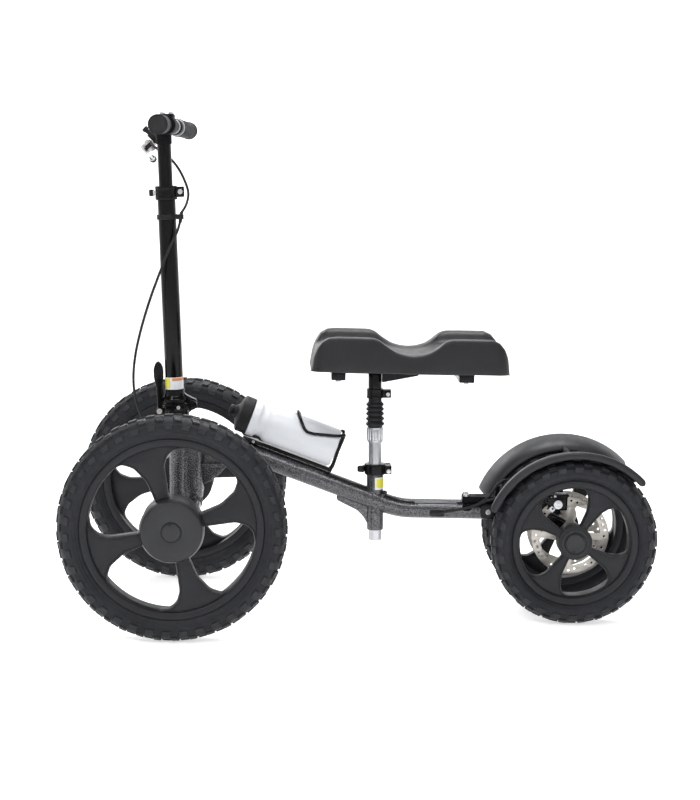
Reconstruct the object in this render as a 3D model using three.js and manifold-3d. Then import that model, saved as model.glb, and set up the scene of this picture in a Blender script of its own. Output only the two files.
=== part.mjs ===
// Four-wheeled all-terrain knee scooter: folding steering tiller, sprung knee pad on a height-adjustable
// post, linked front wheels and a pair of braked rear wheels.
// Millimetres. +X is rearwards, +Y is the rider's right, +Z is up, and the origin is on the ground under
// the middle of the wheelbase.
import * as THREE from "three";
import { mergeVertices } from "three/addons/utils/BufferGeometryUtils.js";
import Module from "manifold-3d";

const wasm = await Module();
wasm.setup();

// Wheels and the places of their axles.
const FRONT_WHEEL = { radius: 203, halfWidth: 28, rimRadius: 162, hubRadius: 56 };
const REAR_WHEEL = { radius: 156, halfWidth: 29, rimRadius: 118, hubRadius: 32 };
const FRONT_AXLE = { x: -344, y: 228, z: 203 };
const REAR_AXLE = { x: 391, y: 76, z: 156 };
const SPOKES = 4;
const AXLE_RADIUS = 6;
const ROTOR = { radius: 73, y: 31, thickness: 2 };

// Frame.
const BEAM = { radius: 18.5, bore: 16, slope: 0.36, z: 197, bendX: 67.5, bendReach: 26, endX: 300 };
const HEAD = { x: -347, radius: 15.8, bore: 12.4, low: 208, high: 362 };
const CROSS_TUBE = { x: -315, z: 202, radius: 12 };
const KINGPIN = { x: -344, y: 160, radius: 8, low: 180, high: 225 };
const STEERING_ARM = { reach: 40, offset: 14, z: 186, thickness: 7 };

// Tiller, which leans forward from the fold.
const TILLER = { x: -353.2, z: 380, lean: -3.1, radius: 16.5, bore: 13.1, low: 20, high: 405 };
const STEM_RADIUS = 12.7;
const BAR = { radius: 11, x: 7.4, z: 520.4, half: 242, straight: 60, sweep: 13, drop: -5 };
const BAR_TURN = -3.3;
const BAR_TILT = -1.6;
const GRIP = { radius: 17, inner: 118, outer: 245 };
const BRAKE = { reach: 57, y: 92, angle: 143 };
const FOLD_PIN = { x: -322, z: 388, radius: 4 };
const FOLD_LEVER_PIN = { x: -382, z: 375, radius: 3 };

// Seat, which leans a little forward on its post.
const SEAT = { x: 26, z: 136, lean: -1.63, postRadius: 12.7, tubeRadius: 16, tubeBore: 13.1 };
const PAD = { low: 463, high: 528, front: -104, rear: 261, halfWidth: 87 };

const GAP = 0.3;
const TURNS = 28;
const CABLE_RADIUS = 2.4;
const BOTTLE_RADIUS = 36.5;

const degrees = THREE.MathUtils.degToRad;
const beamHeight = (x) => BEAM.z - BEAM.slope * (x - BEAM.bendX);

const colours = {
  frame: { color: 0x45464a, roughness: 0.45, metalness: 0.6 },
  blackPaint: { color: 0x121316, roughness: 0.25, metalness: 0.2 },
  blackPlastic: { color: 0x232427, roughness: 0.6, metalness: 0 },
  charcoal: { color: 0x303136, roughness: 0.6, metalness: 0 },
  tyre: { color: 0x26282c, roughness: 0.85, metalness: 0 },
  aluminium: { color: 0xb9bbbe, roughness: 0.3, metalness: 0.9 },
  steel: { color: 0xc8c5bf, roughness: 0.35, metalness: 0.9 },
  rubber: { color: 0x1a1a1c, roughness: 0.8, metalness: 0 },
  white: { color: 0xf1f3f5, roughness: 0.4, metalness: 0 },
};

// A closed geometry as a manifold solid that faces outwards.
function toSolid(geometry) {
  const bare = new THREE.BufferGeometry();
  const flat = geometry.index ? geometry.toNonIndexed() : geometry;
  bare.setAttribute("position", flat.getAttribute("position").clone());
  const merged = mergeVertices(bare, 1e-3);
  const corners = merged.index.array;
  const kept = [];
  for (let i = 0; i < corners.length; i += 3) {
    const [a, b, c] = corners.slice(i, i + 3);
    if (a !== b && b !== c && c !== a) kept.push(a, b, c);
  }
  const vertProperties = merged.attributes.position.array;
  const build = (triVerts) =>
    new wasm.Manifold(new wasm.Mesh({ numProp: 3, vertProperties, triVerts: new Uint32Array(triVerts) }));
  const made = build(kept);
  return made.volume() > 0 ? made : build(kept.reverse());
}

function toGeometry(solid) {
  const mesh = solid.getMesh();
  const geometry = new THREE.BufferGeometry();
  geometry.setAttribute("position", new THREE.BufferAttribute(new Float32Array(mesh.vertProperties), 3));
  geometry.setIndex(new THREE.BufferAttribute(new Uint32Array(mesh.triVerts), 1));
  geometry.computeVertexNormals();
  return geometry;
}

const join = (...parts) => toGeometry(parts.map(toSolid).reduce((all, next) => all.add(next)));
const cut = (part, ...tools) =>
  toGeometry(tools.map(toSolid).reduce((left, tool) => left.subtract(tool), toSolid(part)));
const mirrored = (part) => toGeometry(toSolid(part.clone().scale(1, -1, 1)));
const common = (a, b) => toGeometry(toSolid(a).intersect(toSolid(b)));

// A profile of [radius, height] points turned about the Z axis.
function revolve(profile, sides = 16) {
  const points = profile.map(([radius, height]) => new THREE.Vector2(radius, height));
  const closed = profile[0][0] === 0 ? points : [...points, points[0].clone()];
  return new THREE.LatheGeometry(closed, sides).rotateX(Math.PI / 2);
}

const sleeve = (inner, outer, low, high, sides) =>
  revolve([[inner, low], [outer, low], [outer, high], [inner, high]], sides);
const disc = (radius, low, high, sides) =>
  revolve([[0, low], [radius, low], [radius, high], [0, high]], sides);

// A round bar between two points.
function rod(from, to, radius, sides = 14) {
  const start = new THREE.Vector3(...from);
  const along = new THREE.Vector3(...to).sub(start);
  const up = new THREE.Vector3(0, 0, 1);
  const turn = new THREE.Quaternion().setFromUnitVectors(up, along.clone().normalize());
  return disc(radius, 0, along.length(), sides).applyQuaternion(turn).translate(...from);
}

// A round section swept along a smooth curve through the points.
function tube(points, radius, { sides = 8, steps = 24 } = {}) {
  const path = new THREE.CatmullRomCurve3(points.map((point) => new THREE.Vector3(...point)));
  return sweep(path, radius, { sides, steps });
}

function sweep(path, radius, { sides, steps }) {
  const corners = Array.from({ length: sides }, (_, i) => (2 * Math.PI * i) / sides);
  const ring = corners.map((angle) => new THREE.Vector2(radius * Math.cos(angle), radius * Math.sin(angle)));
  return new THREE.ExtrudeGeometry(new THREE.Shape(ring), { extrudePath: path, steps });
}

// An outline of [x, z] points as a plate between two heights along Y.
function plate(outline, low, high) {
  const shape = new THREE.Shape(outline.map(([x, z]) => new THREE.Vector2(x, z)));
  return extrudeAlongY(shape, low, high);
}

function extrudeAlongY(shape, low, high, curveSegments = 8) {
  const settings = { depth: high - low, bevelEnabled: false, curveSegments };
  const geometry = new THREE.ExtrudeGeometry(shape, settings);
  return geometry.rotateX(Math.PI / 2).translate(0, high, 0);
}

// An outline of [x, y] points as a plate between two heights.
function slab(outline, low, high) {
  const shape = new THREE.Shape(outline.map(([x, y]) => new THREE.Vector2(x, y)));
  return new THREE.ExtrudeGeometry(shape, { depth: high - low, bevelEnabled: false }).translate(0, 0, low);
}

function box(lowCorner, highCorner) {
  const [low, high] = [new THREE.Vector3(...lowCorner), new THREE.Vector3(...highCorner)];
  const size = high.clone().sub(low);
  const middle = low.add(high).multiplyScalar(0.5);
  return new THREE.BoxGeometry(size.x, size.y, size.z).translate(middle.x, middle.y, middle.z);
}

const pinAlongY = (x, z, low, high, radius, sides) => rod([x, low, z], [x, high, z], radius, sides);

function piece(name, geometry, colour) {
  const mesh = new THREE.Mesh(geometry, new THREE.MeshStandardMaterial(colours[colour]));
  mesh.name = name;
  return mesh;
}

// ---- Wheels, built about the Z axis with +Z facing away from the scooter ----

// One opening between two spokes, centred on angle 0, with corners that sweep the same way round.
function spokeWindow(inner, outer) {
  const at = (share, angle) => {
    const radius = inner + share * (outer - inner);
    return [radius * Math.cos(degrees(angle)), radius * Math.sin(degrees(angle))];
  };
  const shape = new THREE.Shape();
  shape.moveTo(...at(0, -26));
  shape.quadraticCurveTo(...at(0.35, -36), ...at(0.8, -29.5));
  shape.quadraticCurveTo(...at(1, -26), ...at(1, -18));
  shape.absarc(0, 0, outer, degrees(-18), degrees(17), false);
  shape.quadraticCurveTo(...at(1, 27), ...at(0.8, 32.5));
  shape.quadraticCurveTo(...at(0.5, 37), ...at(0, 33));
  return shape;
}

// The spoked disc of a wheel: the openings of a right wheel mirror those of a left wheel.
function spokedPlate(wheel, side, inner, outer, low, high, phase) {
  const step = (2 * Math.PI) / SPOKES;
  const windows = Array.from({ length: SPOKES }, (_, i) => {
    const shape = spokeWindow(inner, outer);
    const settings = { depth: high - low + 4, bevelEnabled: false, curveSegments: 2 };
    const hole = new THREE.ExtrudeGeometry(shape, settings);
    return hole.rotateZ(degrees(phase) + step * (i + 0.5)).scale(1, -side, 1).translate(0, 0, low - 2);
  });
  return cut(disc(wheel.rimRadius - 9, low, high, TURNS), ...windows);
}

// The rim's well, with a lip at each side for the tyre.
function rimBarrel(radius) {
  return revolve([[radius - 15, -22], [radius, -22], [radius - 4.3, -18], [radius - 4.3, 18], [radius, 22],
    [radius - 15, 22]], TURNS);
}

function frontRim(side) {
  const { rimRadius, hubRadius } = FRONT_WHEEL;
  const barrel = rimBarrel(rimRadius);
  const spokes = spokedPlate(FRONT_WHEEL, side, hubRadius + 2, rimRadius - 17, -4, 16, side < 0 ? 17 : 11);
  const hub = disc(hubRadius, -26, 22, 20);
  return cut(join(barrel, spokes, hub), disc(AXLE_RADIUS + 0.4, -30, 30), disc(13, 9, 30));
}

function rearRim(side) {
  const { rimRadius, hubRadius } = REAR_WHEEL;
  const barrel = rimBarrel(rimRadius);
  const spokes = spokedPlate(REAR_WHEEL, side, hubRadius + 2, rimRadius - 18, -4, 16, 59);
  const hub = disc(hubRadius, -14, 19, 20);
  const rotorSeat = disc(24, ROTOR.y - REAR_AXLE.y + ROTOR.thickness / 2 + GAP, 0, 20);
  return cut(join(barrel, spokes, hub, rotorSeat), disc(AXLE_RADIUS + 0.4, -60, 30), disc(13, 5, 30));
}

function tyre({ radius, halfWidth, rimRadius }) {
  const half = [[rimRadius - 4, 17.4], [rimRadius + 0.8, 21.6], [rimRadius + 12, halfWidth],
    [radius - 8, halfWidth - 3], [radius, halfWidth * 0.45]];
  const inboard = half.map(([r, z]) => [r, -z]);
  return revolve([...inboard, ...half.reverse()], TURNS);
}

function frontCap() {
  return revolve([[0, 22.3], [56, 22.3], [53, 36], [50, 38], [17, 38], [16.5, 36], [0, 36]], 20);
}

function rearCap() {
  return revolve([[0, 19.3], [18, 19.3], [18, 22], [16, 23], [0, 23]], 20);
}

// A brake disc with a ring of slots, a four-armed carrier and a bore for the hub.
function brakeRotor() {
  const half = ROTOR.thickness / 2;
  const windows = Array.from({ length: 4 }, (_, i) => {
    const shape = spokeWindow(26, 52);
    const hole = new THREE.ExtrudeGeometry(shape, { depth: 6, bevelEnabled: false, curveSegments: 2 });
    return hole.rotateZ((Math.PI / 2) * (i + 0.5)).translate(0, 0, -3);
  });
  return cut(sleeve(AXLE_RADIUS + 2, ROTOR.radius, -half, half, 20), ...windows);
}

function wheel(side, axle, pieces) {
  const group = new THREE.Group();
  group.position.set(axle.x, side * axle.y, axle.z);
  group.rotation.x = -side * (Math.PI / 2);
  group.add(...pieces);
  return group;
}

function frontWheel(name, side) {
  return wheel(side, FRONT_AXLE, [
    piece(`front_rim_${name}`, frontRim(side), "charcoal"),
    piece(`front_tyre_${name}`, tyre(FRONT_WHEEL), "tyre"),
    piece(`front_hub_cap_${name}`, frontCap(), "charcoal"),
  ]);
}

function rearWheel(name, side) {
  const rotor = piece(`brake_rotor_${name}`, brakeRotor(), "steel");
  rotor.position.z = ROTOR.y - REAR_AXLE.y;
  return wheel(side, REAR_AXLE, [
    piece(`rear_rim_${name}`, rearRim(side), "charcoal"),
    piece(`rear_tyre_${name}`, tyre(REAR_WHEEL), "tyre"),
    piece(`rear_hub_cap_${name}`, rearCap(), "charcoal"),
    rotor,
  ]);
}

// ---- Frame ----

// A path of straight runs, sampled only at its corners.
class CornerPath extends THREE.Curve {
  constructor(corners) {
    super();
    this.corners = corners;
  }

  getPoint(share) {
    const place = share * (this.corners.length - 1);
    const index = Math.min(Math.floor(place), this.corners.length - 2);
    return this.corners[index].clone().lerp(this.corners[index + 1], place - index);
  }

  getPointAt(share) {
    return this.getPoint(share);
  }

  getTangentAt(share) {
    return this.getTangent(share);
  }
}

// The main beam: down from the head, one wide bend, then level to the rear.
function beamPipe(radius, reach) {
  const slanted = (x) => new THREE.Vector3(x, 0, beamHeight(x));
  const level = (x) => new THREE.Vector3(x, 0, BEAM.z);
  const bend = new THREE.QuadraticBezierCurve3(slanted(BEAM.bendX - BEAM.bendReach), level(BEAM.bendX),
    level(BEAM.bendX + BEAM.bendReach));
  const corners = [slanted(HEAD.x + 9 - reach), ...bend.getPoints(5), level(BEAM.endX + reach)];
  return sweep(new CornerPath(corners), radius, { sides: 16, steps: corners.length - 1 });
}

function mainBeam() {
  const pipe = cut(beamPipe(BEAM.radius, 0), beamPipe(BEAM.bore, 4));
  const head = disc(HEAD.radius, HEAD.low, HEAD.high, 20).translate(HEAD.x, 0, 0);
  const headBore = disc(HEAD.bore, 100, 400, 20).translate(HEAD.x, 0, 0);
  return cut(join(pipe, head), headBore, seatPlaced(disc(SEAT.tubeRadius + GAP, 0, 150, 20)));
}

const beamEnvelope = () => beamPipe(BEAM.radius + GAP, 4);

function headBearing() {
  return sleeve(HEAD.bore, 19.5, HEAD.high + GAP, 369, 20).translate(HEAD.x, 0, 0);
}

// Web and flange behind the boss that brace the beam to the front axle.
function headGusset() {
  const [front, rear] = [CROSS_TUBE.x + 12, HEAD.x + 92];
  const web = plate([[front, 236], [-285, 242], [-270, 256], [rear, 272], [rear, 277], [front, 277]], -3, 3);
  return join(web, box([front, -14, 272], [rear, 14, 277]));
}

// Cross tube with an upright boss at the middle and a kingpin housing at each end.
function frontAxleBeam() {
  const { x, z, radius } = CROSS_TUBE;
  const reach = KINGPIN.y - 22;
  const tubes = [rod([x, -reach, z], [x, reach, z], radius)];
  const bores = [];
  for (const side of [-1, 1]) {
    tubes.push(rod([x, side * (reach - 3), z], [KINGPIN.x, side * KINGPIN.y, z], radius));
    tubes.push(disc(15, KINGPIN.low, KINGPIN.high).translate(KINGPIN.x, side * KINGPIN.y, 0));
    bores.push(disc(KINGPIN.radius + 0.4, 150, 250).translate(KINGPIN.x, side * KINGPIN.y, 0));
  }
  const boss = disc(15.2, z, 322, 20).translate(x, 0, 0);
  return cut(join(boss, headGusset(), ...tubes), beamEnvelope(), ...bores);
}

const seatPlaced = (geometry) => geometry.rotateY(degrees(SEAT.lean)).translate(SEAT.x, 0, SEAT.z);

// Seat tube through the beam, with the brace that runs from it forward under the beam.
function seatTube() {
  const tubePart = seatPlaced(disc(SEAT.tubeRadius, 20, 140, 20));
  const brace = plate([[-49, 222], [-49, 211], [-33, 203], [-10, 192], [2, 180], [10, 166], [24, 166],
    [24, 222]], -5, 5);
  const outside = cut(brace, beamEnvelope());
  return cut(join(tubePart, lowestPiece(outside)), seatPlaced(disc(SEAT.tubeBore, -5, 145, 20)));
}

// The part of a cut solid that reaches lowest.
function lowestPiece(geometry) {
  const bodies = toSolid(geometry).decompose();
  bodies.sort((a, b) => a.boundingBox().min[2] - b.boundingBox().min[2]);
  return toGeometry(bodies[0]);
}

// Two side plates that carry the rear axle, tied by a web.
function rearCarrier() {
  const outline = [[222, 184], [300, 180], [378, 142], [391, 138], [404, 142], [409, 156], [405, 166],
    [356, 192], [352, 216], [334, 216], [330, 203], [300, 213], [222, 211]];
  const plates = [plate(outline, 19.2, 20), plate(outline, -24, -19.2)];
  const web = box([303, -20, 181], [352, 20, 187]);
  const boss = pinAlongY(REAR_AXLE.x, REAR_AXLE.z, -29.5, 29.5, 12);
  return cut(join(...plates, web, boss), pinAlongY(REAR_AXLE.x, REAR_AXLE.z, -40, 40, AXLE_RADIUS + GAP));
}

function rearAxle() {
  const { x, y, z } = REAR_AXLE;
  const nuts = [-1, 1].map((side) => pinAlongY(x, z, side * (y + 5.6), side * (y + 13), 10, 6));
  return join(pinAlongY(x, z, -y - 16, y + 16, AXLE_RADIUS), ...nuts);
}

// Mudguard over one rear tyre: a top that slopes in to the middle, an outer lip and an inner flange.
function fender(side) {
  const profile = [[159.5, 101.5], [159.5, 105], [172, 105], [164, 44], [150, 44], [150, 47.2], [161, 47.2],
    [168.6, 101.5]];
  const ring = revolve(profile, 56).rotateX(-Math.PI / 2);
  const [rear, front] = [degrees(43), degrees(159.5)];
  const sector = new THREE.Shape();
  sector.moveTo(0, 0);
  sector.absarc(0, 0, 220, rear, front, false);
  const kept = common(ring, extrudeAlongY(sector, -120, 120, 16));
  return (side > 0 ? kept : mirrored(kept)).translate(REAR_AXLE.x, 0, REAR_AXLE.z);
}

// Saddle on the beam with the bars that hold both mudguards.
function fenderBracket() {
  const reach = 43.7;
  const saddle = cut(box([188, -16, 205], [262, 16, 224]), beamEnvelope());
  const post = box([250, -8, 219], [268, 8, 243]);
  const frontBar = pinAlongY(262, 238, -reach, reach, 5);
  const brace = rod([262, 0, 238], [385, 0, 309], 5);
  const rearBar = pinAlongY(385, 309, -reach, reach, 5);
  return join(saddle, post, frontBar, brace, rearBar);
}

function caliper(side) {
  const [inner, outer] = [24.3, 47];
  const body = box([344, side * inner, 205], [384, side * outer, 236]);
  const slot = box([340, side * 29.4, 200], [390, side * 32.6, 231]);
  const pivot = pinAlongY(364, 221, side * (outer - 1), side * 50, 12);
  const stud = pinAlongY(364, 221, side * 45, side * 58, 3, 12);
  return join(cut(body, slot), pivot, stud);
}

function caliperArm(side) {
  const arm = join(
    pinAlongY(364, 221, side * 50.3, side * 54.3, 10),
    plate([[362, 212], [340, 222], [340, 232], [366, 230]], Math.min(side * 50.3, side * 54.3),
      Math.max(side * 50.3, side * 54.3)),
  );
  return cut(arm, pinAlongY(364, 221, side * 40, side * 60, 3.4, 12));
}

// ---- Steering ----

// Steering shaft with the forward arm and its two studs.
function steeringShaft() {
  const { reach, offset, z, thickness } = STEERING_ARM;
  const top = z + thickness;
  const arm = slab([[14, -13], [14, 13], [-reach, 8 + offset], [-reach - 7, offset], [-reach - 7, -offset],
    [-reach, -8 - offset]], z, top);
  const studs = [-1, 1].map((side) => disc(3, z + 1, top + 8, 12).translate(-reach, side * offset, 0));
  const shaft = join(disc(12, z, 368.6, 20), disc(15, z, HEAD.low - 0.4, 20), arm, ...studs);
  return shaft.translate(HEAD.x, 0, 0);
}

function tieRod(side) {
  const { reach, offset, z, thickness } = STEERING_ARM;
  const [low, high] = [z + thickness + 0.4, z + thickness + 8];
  const middle = (low + high) / 2;
  const inner = [HEAD.x - reach, side * offset];
  const outer = [KINGPIN.x - reach, side * (KINGPIN.y + offset)];
  const eyes = [inner, outer].map(([x, y]) => disc(7.5, low, high, 14).translate(x, y, 0));
  const holes = [inner, outer].map(([x, y]) => disc(3.4, low - 5, high + 5, 12).translate(x, y, 0));
  return cut(join(...eyes, rod([...inner, middle], [...outer, middle], 3.6, 12)), ...holes);
}

// Knuckle: kingpin, a yoke round the housing, the stub axle and the steering arm.
function knuckle(side) {
  const { reach, offset, z, thickness } = STEERING_ARM;
  const { radius, low, high } = KINGPIN;
  const [bottom, top] = [low - 10, high + 10];
  const pieces = [
    disc(radius, bottom, top),
    slab([[-12, -12], [12, -12], [12, 27], [-12, 27]], bottom, low - 0.4),
    slab([[-12, -12], [12, -12], [12, 27], [-12, 27]], high + 0.4, top),
    slab([[-12, 17], [12, 17], [12, 27], [-12, 27]], bottom, top),
    slab([[-8, 17], [-8, 27], [-reach, offset + 8], [-reach - 7, offset], [-reach, offset - 7]], z,
      z + thickness),
    disc(3, z + 1, z + thickness + 8, 12).translate(-reach, offset, 0),
    rod([0, 20, FRONT_AXLE.z], [0, 84, FRONT_AXLE.z], AXLE_RADIUS),
    rod([0, 26, FRONT_AXLE.z], [0, 41.5, FRONT_AXLE.z], 11),
    rod([0, 77.6, FRONT_AXLE.z], [0, 83.5, FRONT_AXLE.z], 10, 6),
  ];
  const whole = side > 0 ? join(...pieces) : mirrored(join(...pieces));
  return whole.translate(KINGPIN.x, side * KINGPIN.y, 0);
}

// Fold base on top of the steering shaft: rear ears for the hinge pin, front lugs for the lever.
function foldBase() {
  const { x: pinX, z: pinZ } = FOLD_PIN;
  const { x: leverX, z: leverZ } = FOLD_LEVER_PIN;
  const body = box([-373, -16, 374], [-334, 16, 389.7]);
  const foot = disc(18.5, 369.3, 377, 20).translate(HEAD.x, 0, 0);
  const pieces = [body, foot];
  for (const side of [-1, 1]) {
    pieces.push(pinAlongY(pinX, pinZ, side * 8, side * 15, 9, 12));
    pieces.push(box([-340, side * 8, 379], [pinX, side * 15, 389.7]));
    pieces.push(pinAlongY(leverX, leverZ, side * 7.4, side * 12, 6.5, 12));
    pieces.push(box([leverX, side * 7.4, 374.2], [-370, side * 12, 381]));
  }
  pieces.push(pinAlongY(pinX, pinZ, -16.5, 16.5, FOLD_PIN.radius, 16));
  pieces.push(pinAlongY(leverX, leverZ, -15, 15, FOLD_LEVER_PIN.radius, 12));
  return join(...pieces);
}

function foldLever() {
  const { x, z, radius } = FOLD_LEVER_PIN;
  const outline = [[-386, 376], [-387, 395], [-388.5, 416], [-393.5, 436], [-394.5, 453], [-391, 464],
    [-386, 467.5], [-379.5, 462], [-376.5, 452], [-376, 437], [-377.6, 424], [-377.5, 400], [-377.5, 376]];
  const whole = join(plate(outline, -7, 7), pinAlongY(x, z, -7, 7, 6.3));
  return cut(whole, pinAlongY(x, z, -20, 20, radius + GAP, 16));
}

// Socket at the foot of the tiller with the tongue of the fold hinge.
function foldCasting() {
  const tillerBore = () => disc(TILLER.radius + GAP, TILLER.low - GAP, 60, 20);
  const socket = tillerPlaced(cut(disc(19.6, 16, 36, 20), tillerBore()));
  const foot = box([-374, -18, 390.4], [-334, 18, 398]);
  const tongue = join(
    plate([[-345, 391], [-322, 391], [-313.4, 391], [-314, 397], [-330, 405], [-345, 408]], -7.6, 7.6),
    pinAlongY(FOLD_PIN.x, FOLD_PIN.z, -7.6, 7.6, 9),
  );
  const bored = cut(join(socket, foot, tongue), pinAlongY(FOLD_PIN.x, FOLD_PIN.z, -30, 30, 4.3, 16));
  return cut(bored, tillerPlaced(tillerBore()));
}

const tillerPlaced = (geometry) => geometry.rotateY(degrees(TILLER.lean)).translate(TILLER.x, 0, TILLER.z);

function tillerTube() {
  return sleeve(TILLER.bore, TILLER.radius, TILLER.low, TILLER.high, 20);
}

// Split collar that pinches the tiller on the stem, with its two ears.
function stemClamp() {
  const collar = revolve([[16.8, 386], [20, 386], [20, 411], [13.2, 411], [13.2, TILLER.high + GAP],
    [16.8, TILLER.high + GAP]], 20);
  const ears = box([17.5, -8, 390], [33, 8, 409]);
  const slit = box([10, -1, 380], [40, 1, 420]);
  return cut(join(collar, cut(ears, disc(18, 380, 420, 20))), slit);
}

function stemKnob() {
  return rod([-20.3, 0, 399], [-31, 0, 399], 6, 20);
}

function cableGuide() {
  const ring = sleeve(TILLER.radius + GAP, 19, 350, 359, 20);
  const tab = cut(box([16, -16, 350], [31, -4, 359]), disc(18, 340, 370, 20));
  const eye = rod([24.5, -10.5, 340], [24.5, -10.5, 370], CABLE_RADIUS + 0.8, 12);
  return cut(join(ring, tab), eye);
}

// ---- Stem and handlebar, built about the bar's middle and then set on the stem ----

const barPoint = (y) => {
  const share = Math.max(0, (Math.abs(y) - BAR.straight) / (GRIP.outer - BAR.straight));
  return [BAR.sweep * share, y, BAR.drop * share];
};

function handlebar() {
  const rods = [rod(barPoint(-BAR.straight), barPoint(BAR.straight), BAR.radius)];
  for (const side of [-1, 1]) {
    rods.push(rod(barPoint(side * (BAR.straight - 0.5)), barPoint(side * BAR.half), BAR.radius));
  }
  return join(...rods);
}

function grip(side) {
  const outside = rod(barPoint(side * GRIP.inner), barPoint(side * GRIP.outer), GRIP.radius, 20);
  const [start, end] = [GRIP.inner - 8, GRIP.outer - 2.6].map((y) => barPoint(side * y));
  const inside = rod(start, end, BAR.radius + GAP);
  return cut(outside, inside);
}

// The perch: a ring on the bar, an arm out to the lever's pivot and a socket for the lock button.
function brakePerch() {
  const { reach, y, angle } = BRAKE;
  const across = (geometry) => geometry.rotateY(degrees(angle)).translate(...brakePivot());
  const ring = rod(barPoint(93), barPoint(108), 15);
  const arm = across(rod([6 - reach, y * 0.08, 0], [0, 0, 0], 4.8, 12));
  const pivot = across(disc(8, -5, 5, 14));
  const socket = rod([-34, y + 2, -22], [-45, y + 2, -11], 6.6, 14);
  const bar = rod(barPoint(80), barPoint(120), BAR.radius + GAP);
  return cut(join(ring, arm, pivot, socket), bar, rod([-38.5, y + 2, -17.5], [-60, y + 2, 4], 4.8, 12));
}

function brakePivot() {
  const { reach, y, angle } = BRAKE;
  return [reach * Math.cos(degrees(angle)), y, -reach * Math.sin(degrees(angle))];
}

// Lever blade with a ball end and a fork at the pivot, built about the pivot's axis.
function brakeLever() {
  const blade = tube([[14, 4, 0], [16, 26, 1], [17, 55, 3], [19, 88, 8], [20, 103, 12]], 4.4,
    { sides: 8, steps: 8 });
  const ball = new THREE.SphereGeometry(7, 10, 7).translate(21, 108, 14);
  const fork = [-1, 1].map((side) => disc(8, side * 7.4 - 2, side * 7.4 + 2, 12));
  const cheeks = [-1, 1].map((side) => box([0, -6, side * 7.4 - 2], [15, 8, side * 7.4 + 2]));
  const bridge = box([9, -6, -9.4], [15, 8, 9.4]);
  return join(blade, ball, bridge, ...fork, ...cheeks);
}

function lockButton() {
  return rod([-42.5, BRAKE.y + 2, -13.5], [-55, BRAKE.y + 2, -1], 4.4, 12);
}

function barClamp() {
  const socket = revolve([[0, 486], [14.6, 486], [16.5, 504], [16.5, 512], [0, 512]], 20);
  const saddle = rod([0, -23, 0], [0, 23, 0], 17.5, 20);
  const bore = rod([0, -40, 0], [0, 40, 0], BAR.radius + GAP, 20);
  const placed = (geometry) => geometry.rotateX(degrees(BAR_TILT)).translate(BAR.x, 0, BAR.z);
  return cut(join(socket, placed(saddle)), disc(STEM_RADIUS + GAP, 480, 500.3), placed(bore));
}

function stemTube() {
  return sleeve(11, STEM_RADIUS, 215, 500, 20);
}

function steeringHead() {
  const lever = new THREE.Group();
  lever.position.set(...brakePivot());
  lever.rotation.y = degrees(BRAKE.angle);
  lever.add(piece("brake_lever", brakeLever(), "aluminium"));
  const bar = new THREE.Group();
  bar.position.set(BAR.x, 0, BAR.z);
  bar.rotation.x = degrees(BAR_TILT);
  bar.add(
    piece("handlebar", handlebar(), "blackPaint"),
    piece("grip_left", grip(-1), "rubber"),
    piece("grip_right", grip(1), "rubber"),
    piece("brake_perch", brakePerch(), "blackPlastic"),
    piece("brake_lock_button", lockButton(), "blackPlastic"),
    lever,
  );
  const stem = new THREE.Group();
  stem.rotation.z = degrees(BAR_TURN);
  stem.add(piece("stem_tube", stemTube(), "blackPaint"), piece("bar_clamp", barClamp(), "blackPaint"), bar);
  return stem;
}

function tiller() {
  const group = new THREE.Group();
  group.position.set(TILLER.x, 0, TILLER.z);
  group.rotation.y = degrees(TILLER.lean);
  group.add(
    piece("tiller_tube", tillerTube(), "blackPaint"),
    piece("stem_clamp", stemClamp(), "blackPaint"),
    piece("stem_clamp_knob", stemKnob(), "blackPlastic"),
    piece("cable_guide", cableGuide(), "blackPlastic"),
    steeringHead(),
  );
  return group;
}

// ---- Seat, built about the post's axis ----

function seatClamp() {
  const collar = revolve([[SEAT.tubeRadius + GAP, 126], [20, 126], [20, 146], [SEAT.tubeBore, 146],
    [SEAT.tubeBore, 140.3], [SEAT.tubeRadius + GAP, 140.3]], 20);
  const ears = cut(box([18, -9, 126], [31, 9, 142]), disc(18.5, 120, 150, 20));
  const slit = box([8, -1, 120], [40, 1, 150]);
  const bolt = rod([25, -13, 132], [25, 17, 132], 3, 16);
  return join(cut(join(collar, ears), slit), bolt);
}

// Quick-release lever that wraps round the right side of the collar.
function seatLever() {
  const band = sleeve(21.5, 25.5, 129, 141, 20);
  const sector = new THREE.Shape();
  sector.moveTo(0, 0);
  sector.absarc(0, 0, 40, degrees(48), degrees(190), false);
  const wedge = new THREE.ExtrudeGeometry(sector, { depth: 40, bevelEnabled: false, curveSegments: 8 });
  const curved = common(band, wedge.translate(0, 0, 115));
  const eye = disc(7, 129, 141, 20).translate(24, 24.5, 0);
  const neck = slab([[8, 21], [20, 17], [28, 19], [24, 27], [8, 25]], 129, 141);
  const nose = slab([[-30, -4], [-22, -5], [-22, 3], [-30, 2]], 131, 140);
  return cut(join(curved, eye, neck, nose), rod([24, 24.5, 120], [24, 24.5, 150], 1.5, 8));
}

function seatPost() {
  const tubePart = sleeve(11, SEAT.postRadius, 0, 190, 20);
  const collar = disc(15.8, 188, 215, 20);
  const slider = disc(9, 214, 275, 20);
  return join(tubePart, collar, slider);
}

function bellows() {
  const folds = 6;
  const [low, high] = [215.4, 269.6];
  const pitch = (high - low) / folds;
  const outside = [[13.2, low]];
  for (let i = 0; i < folds; i += 1) {
    outside.push([17.2, low + pitch * (i + 0.5)], [13.2, low + pitch * (i + 1)]);
  }
  return revolve([...outside, [9.6, high], [9.6, low]], 16);
}

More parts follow.
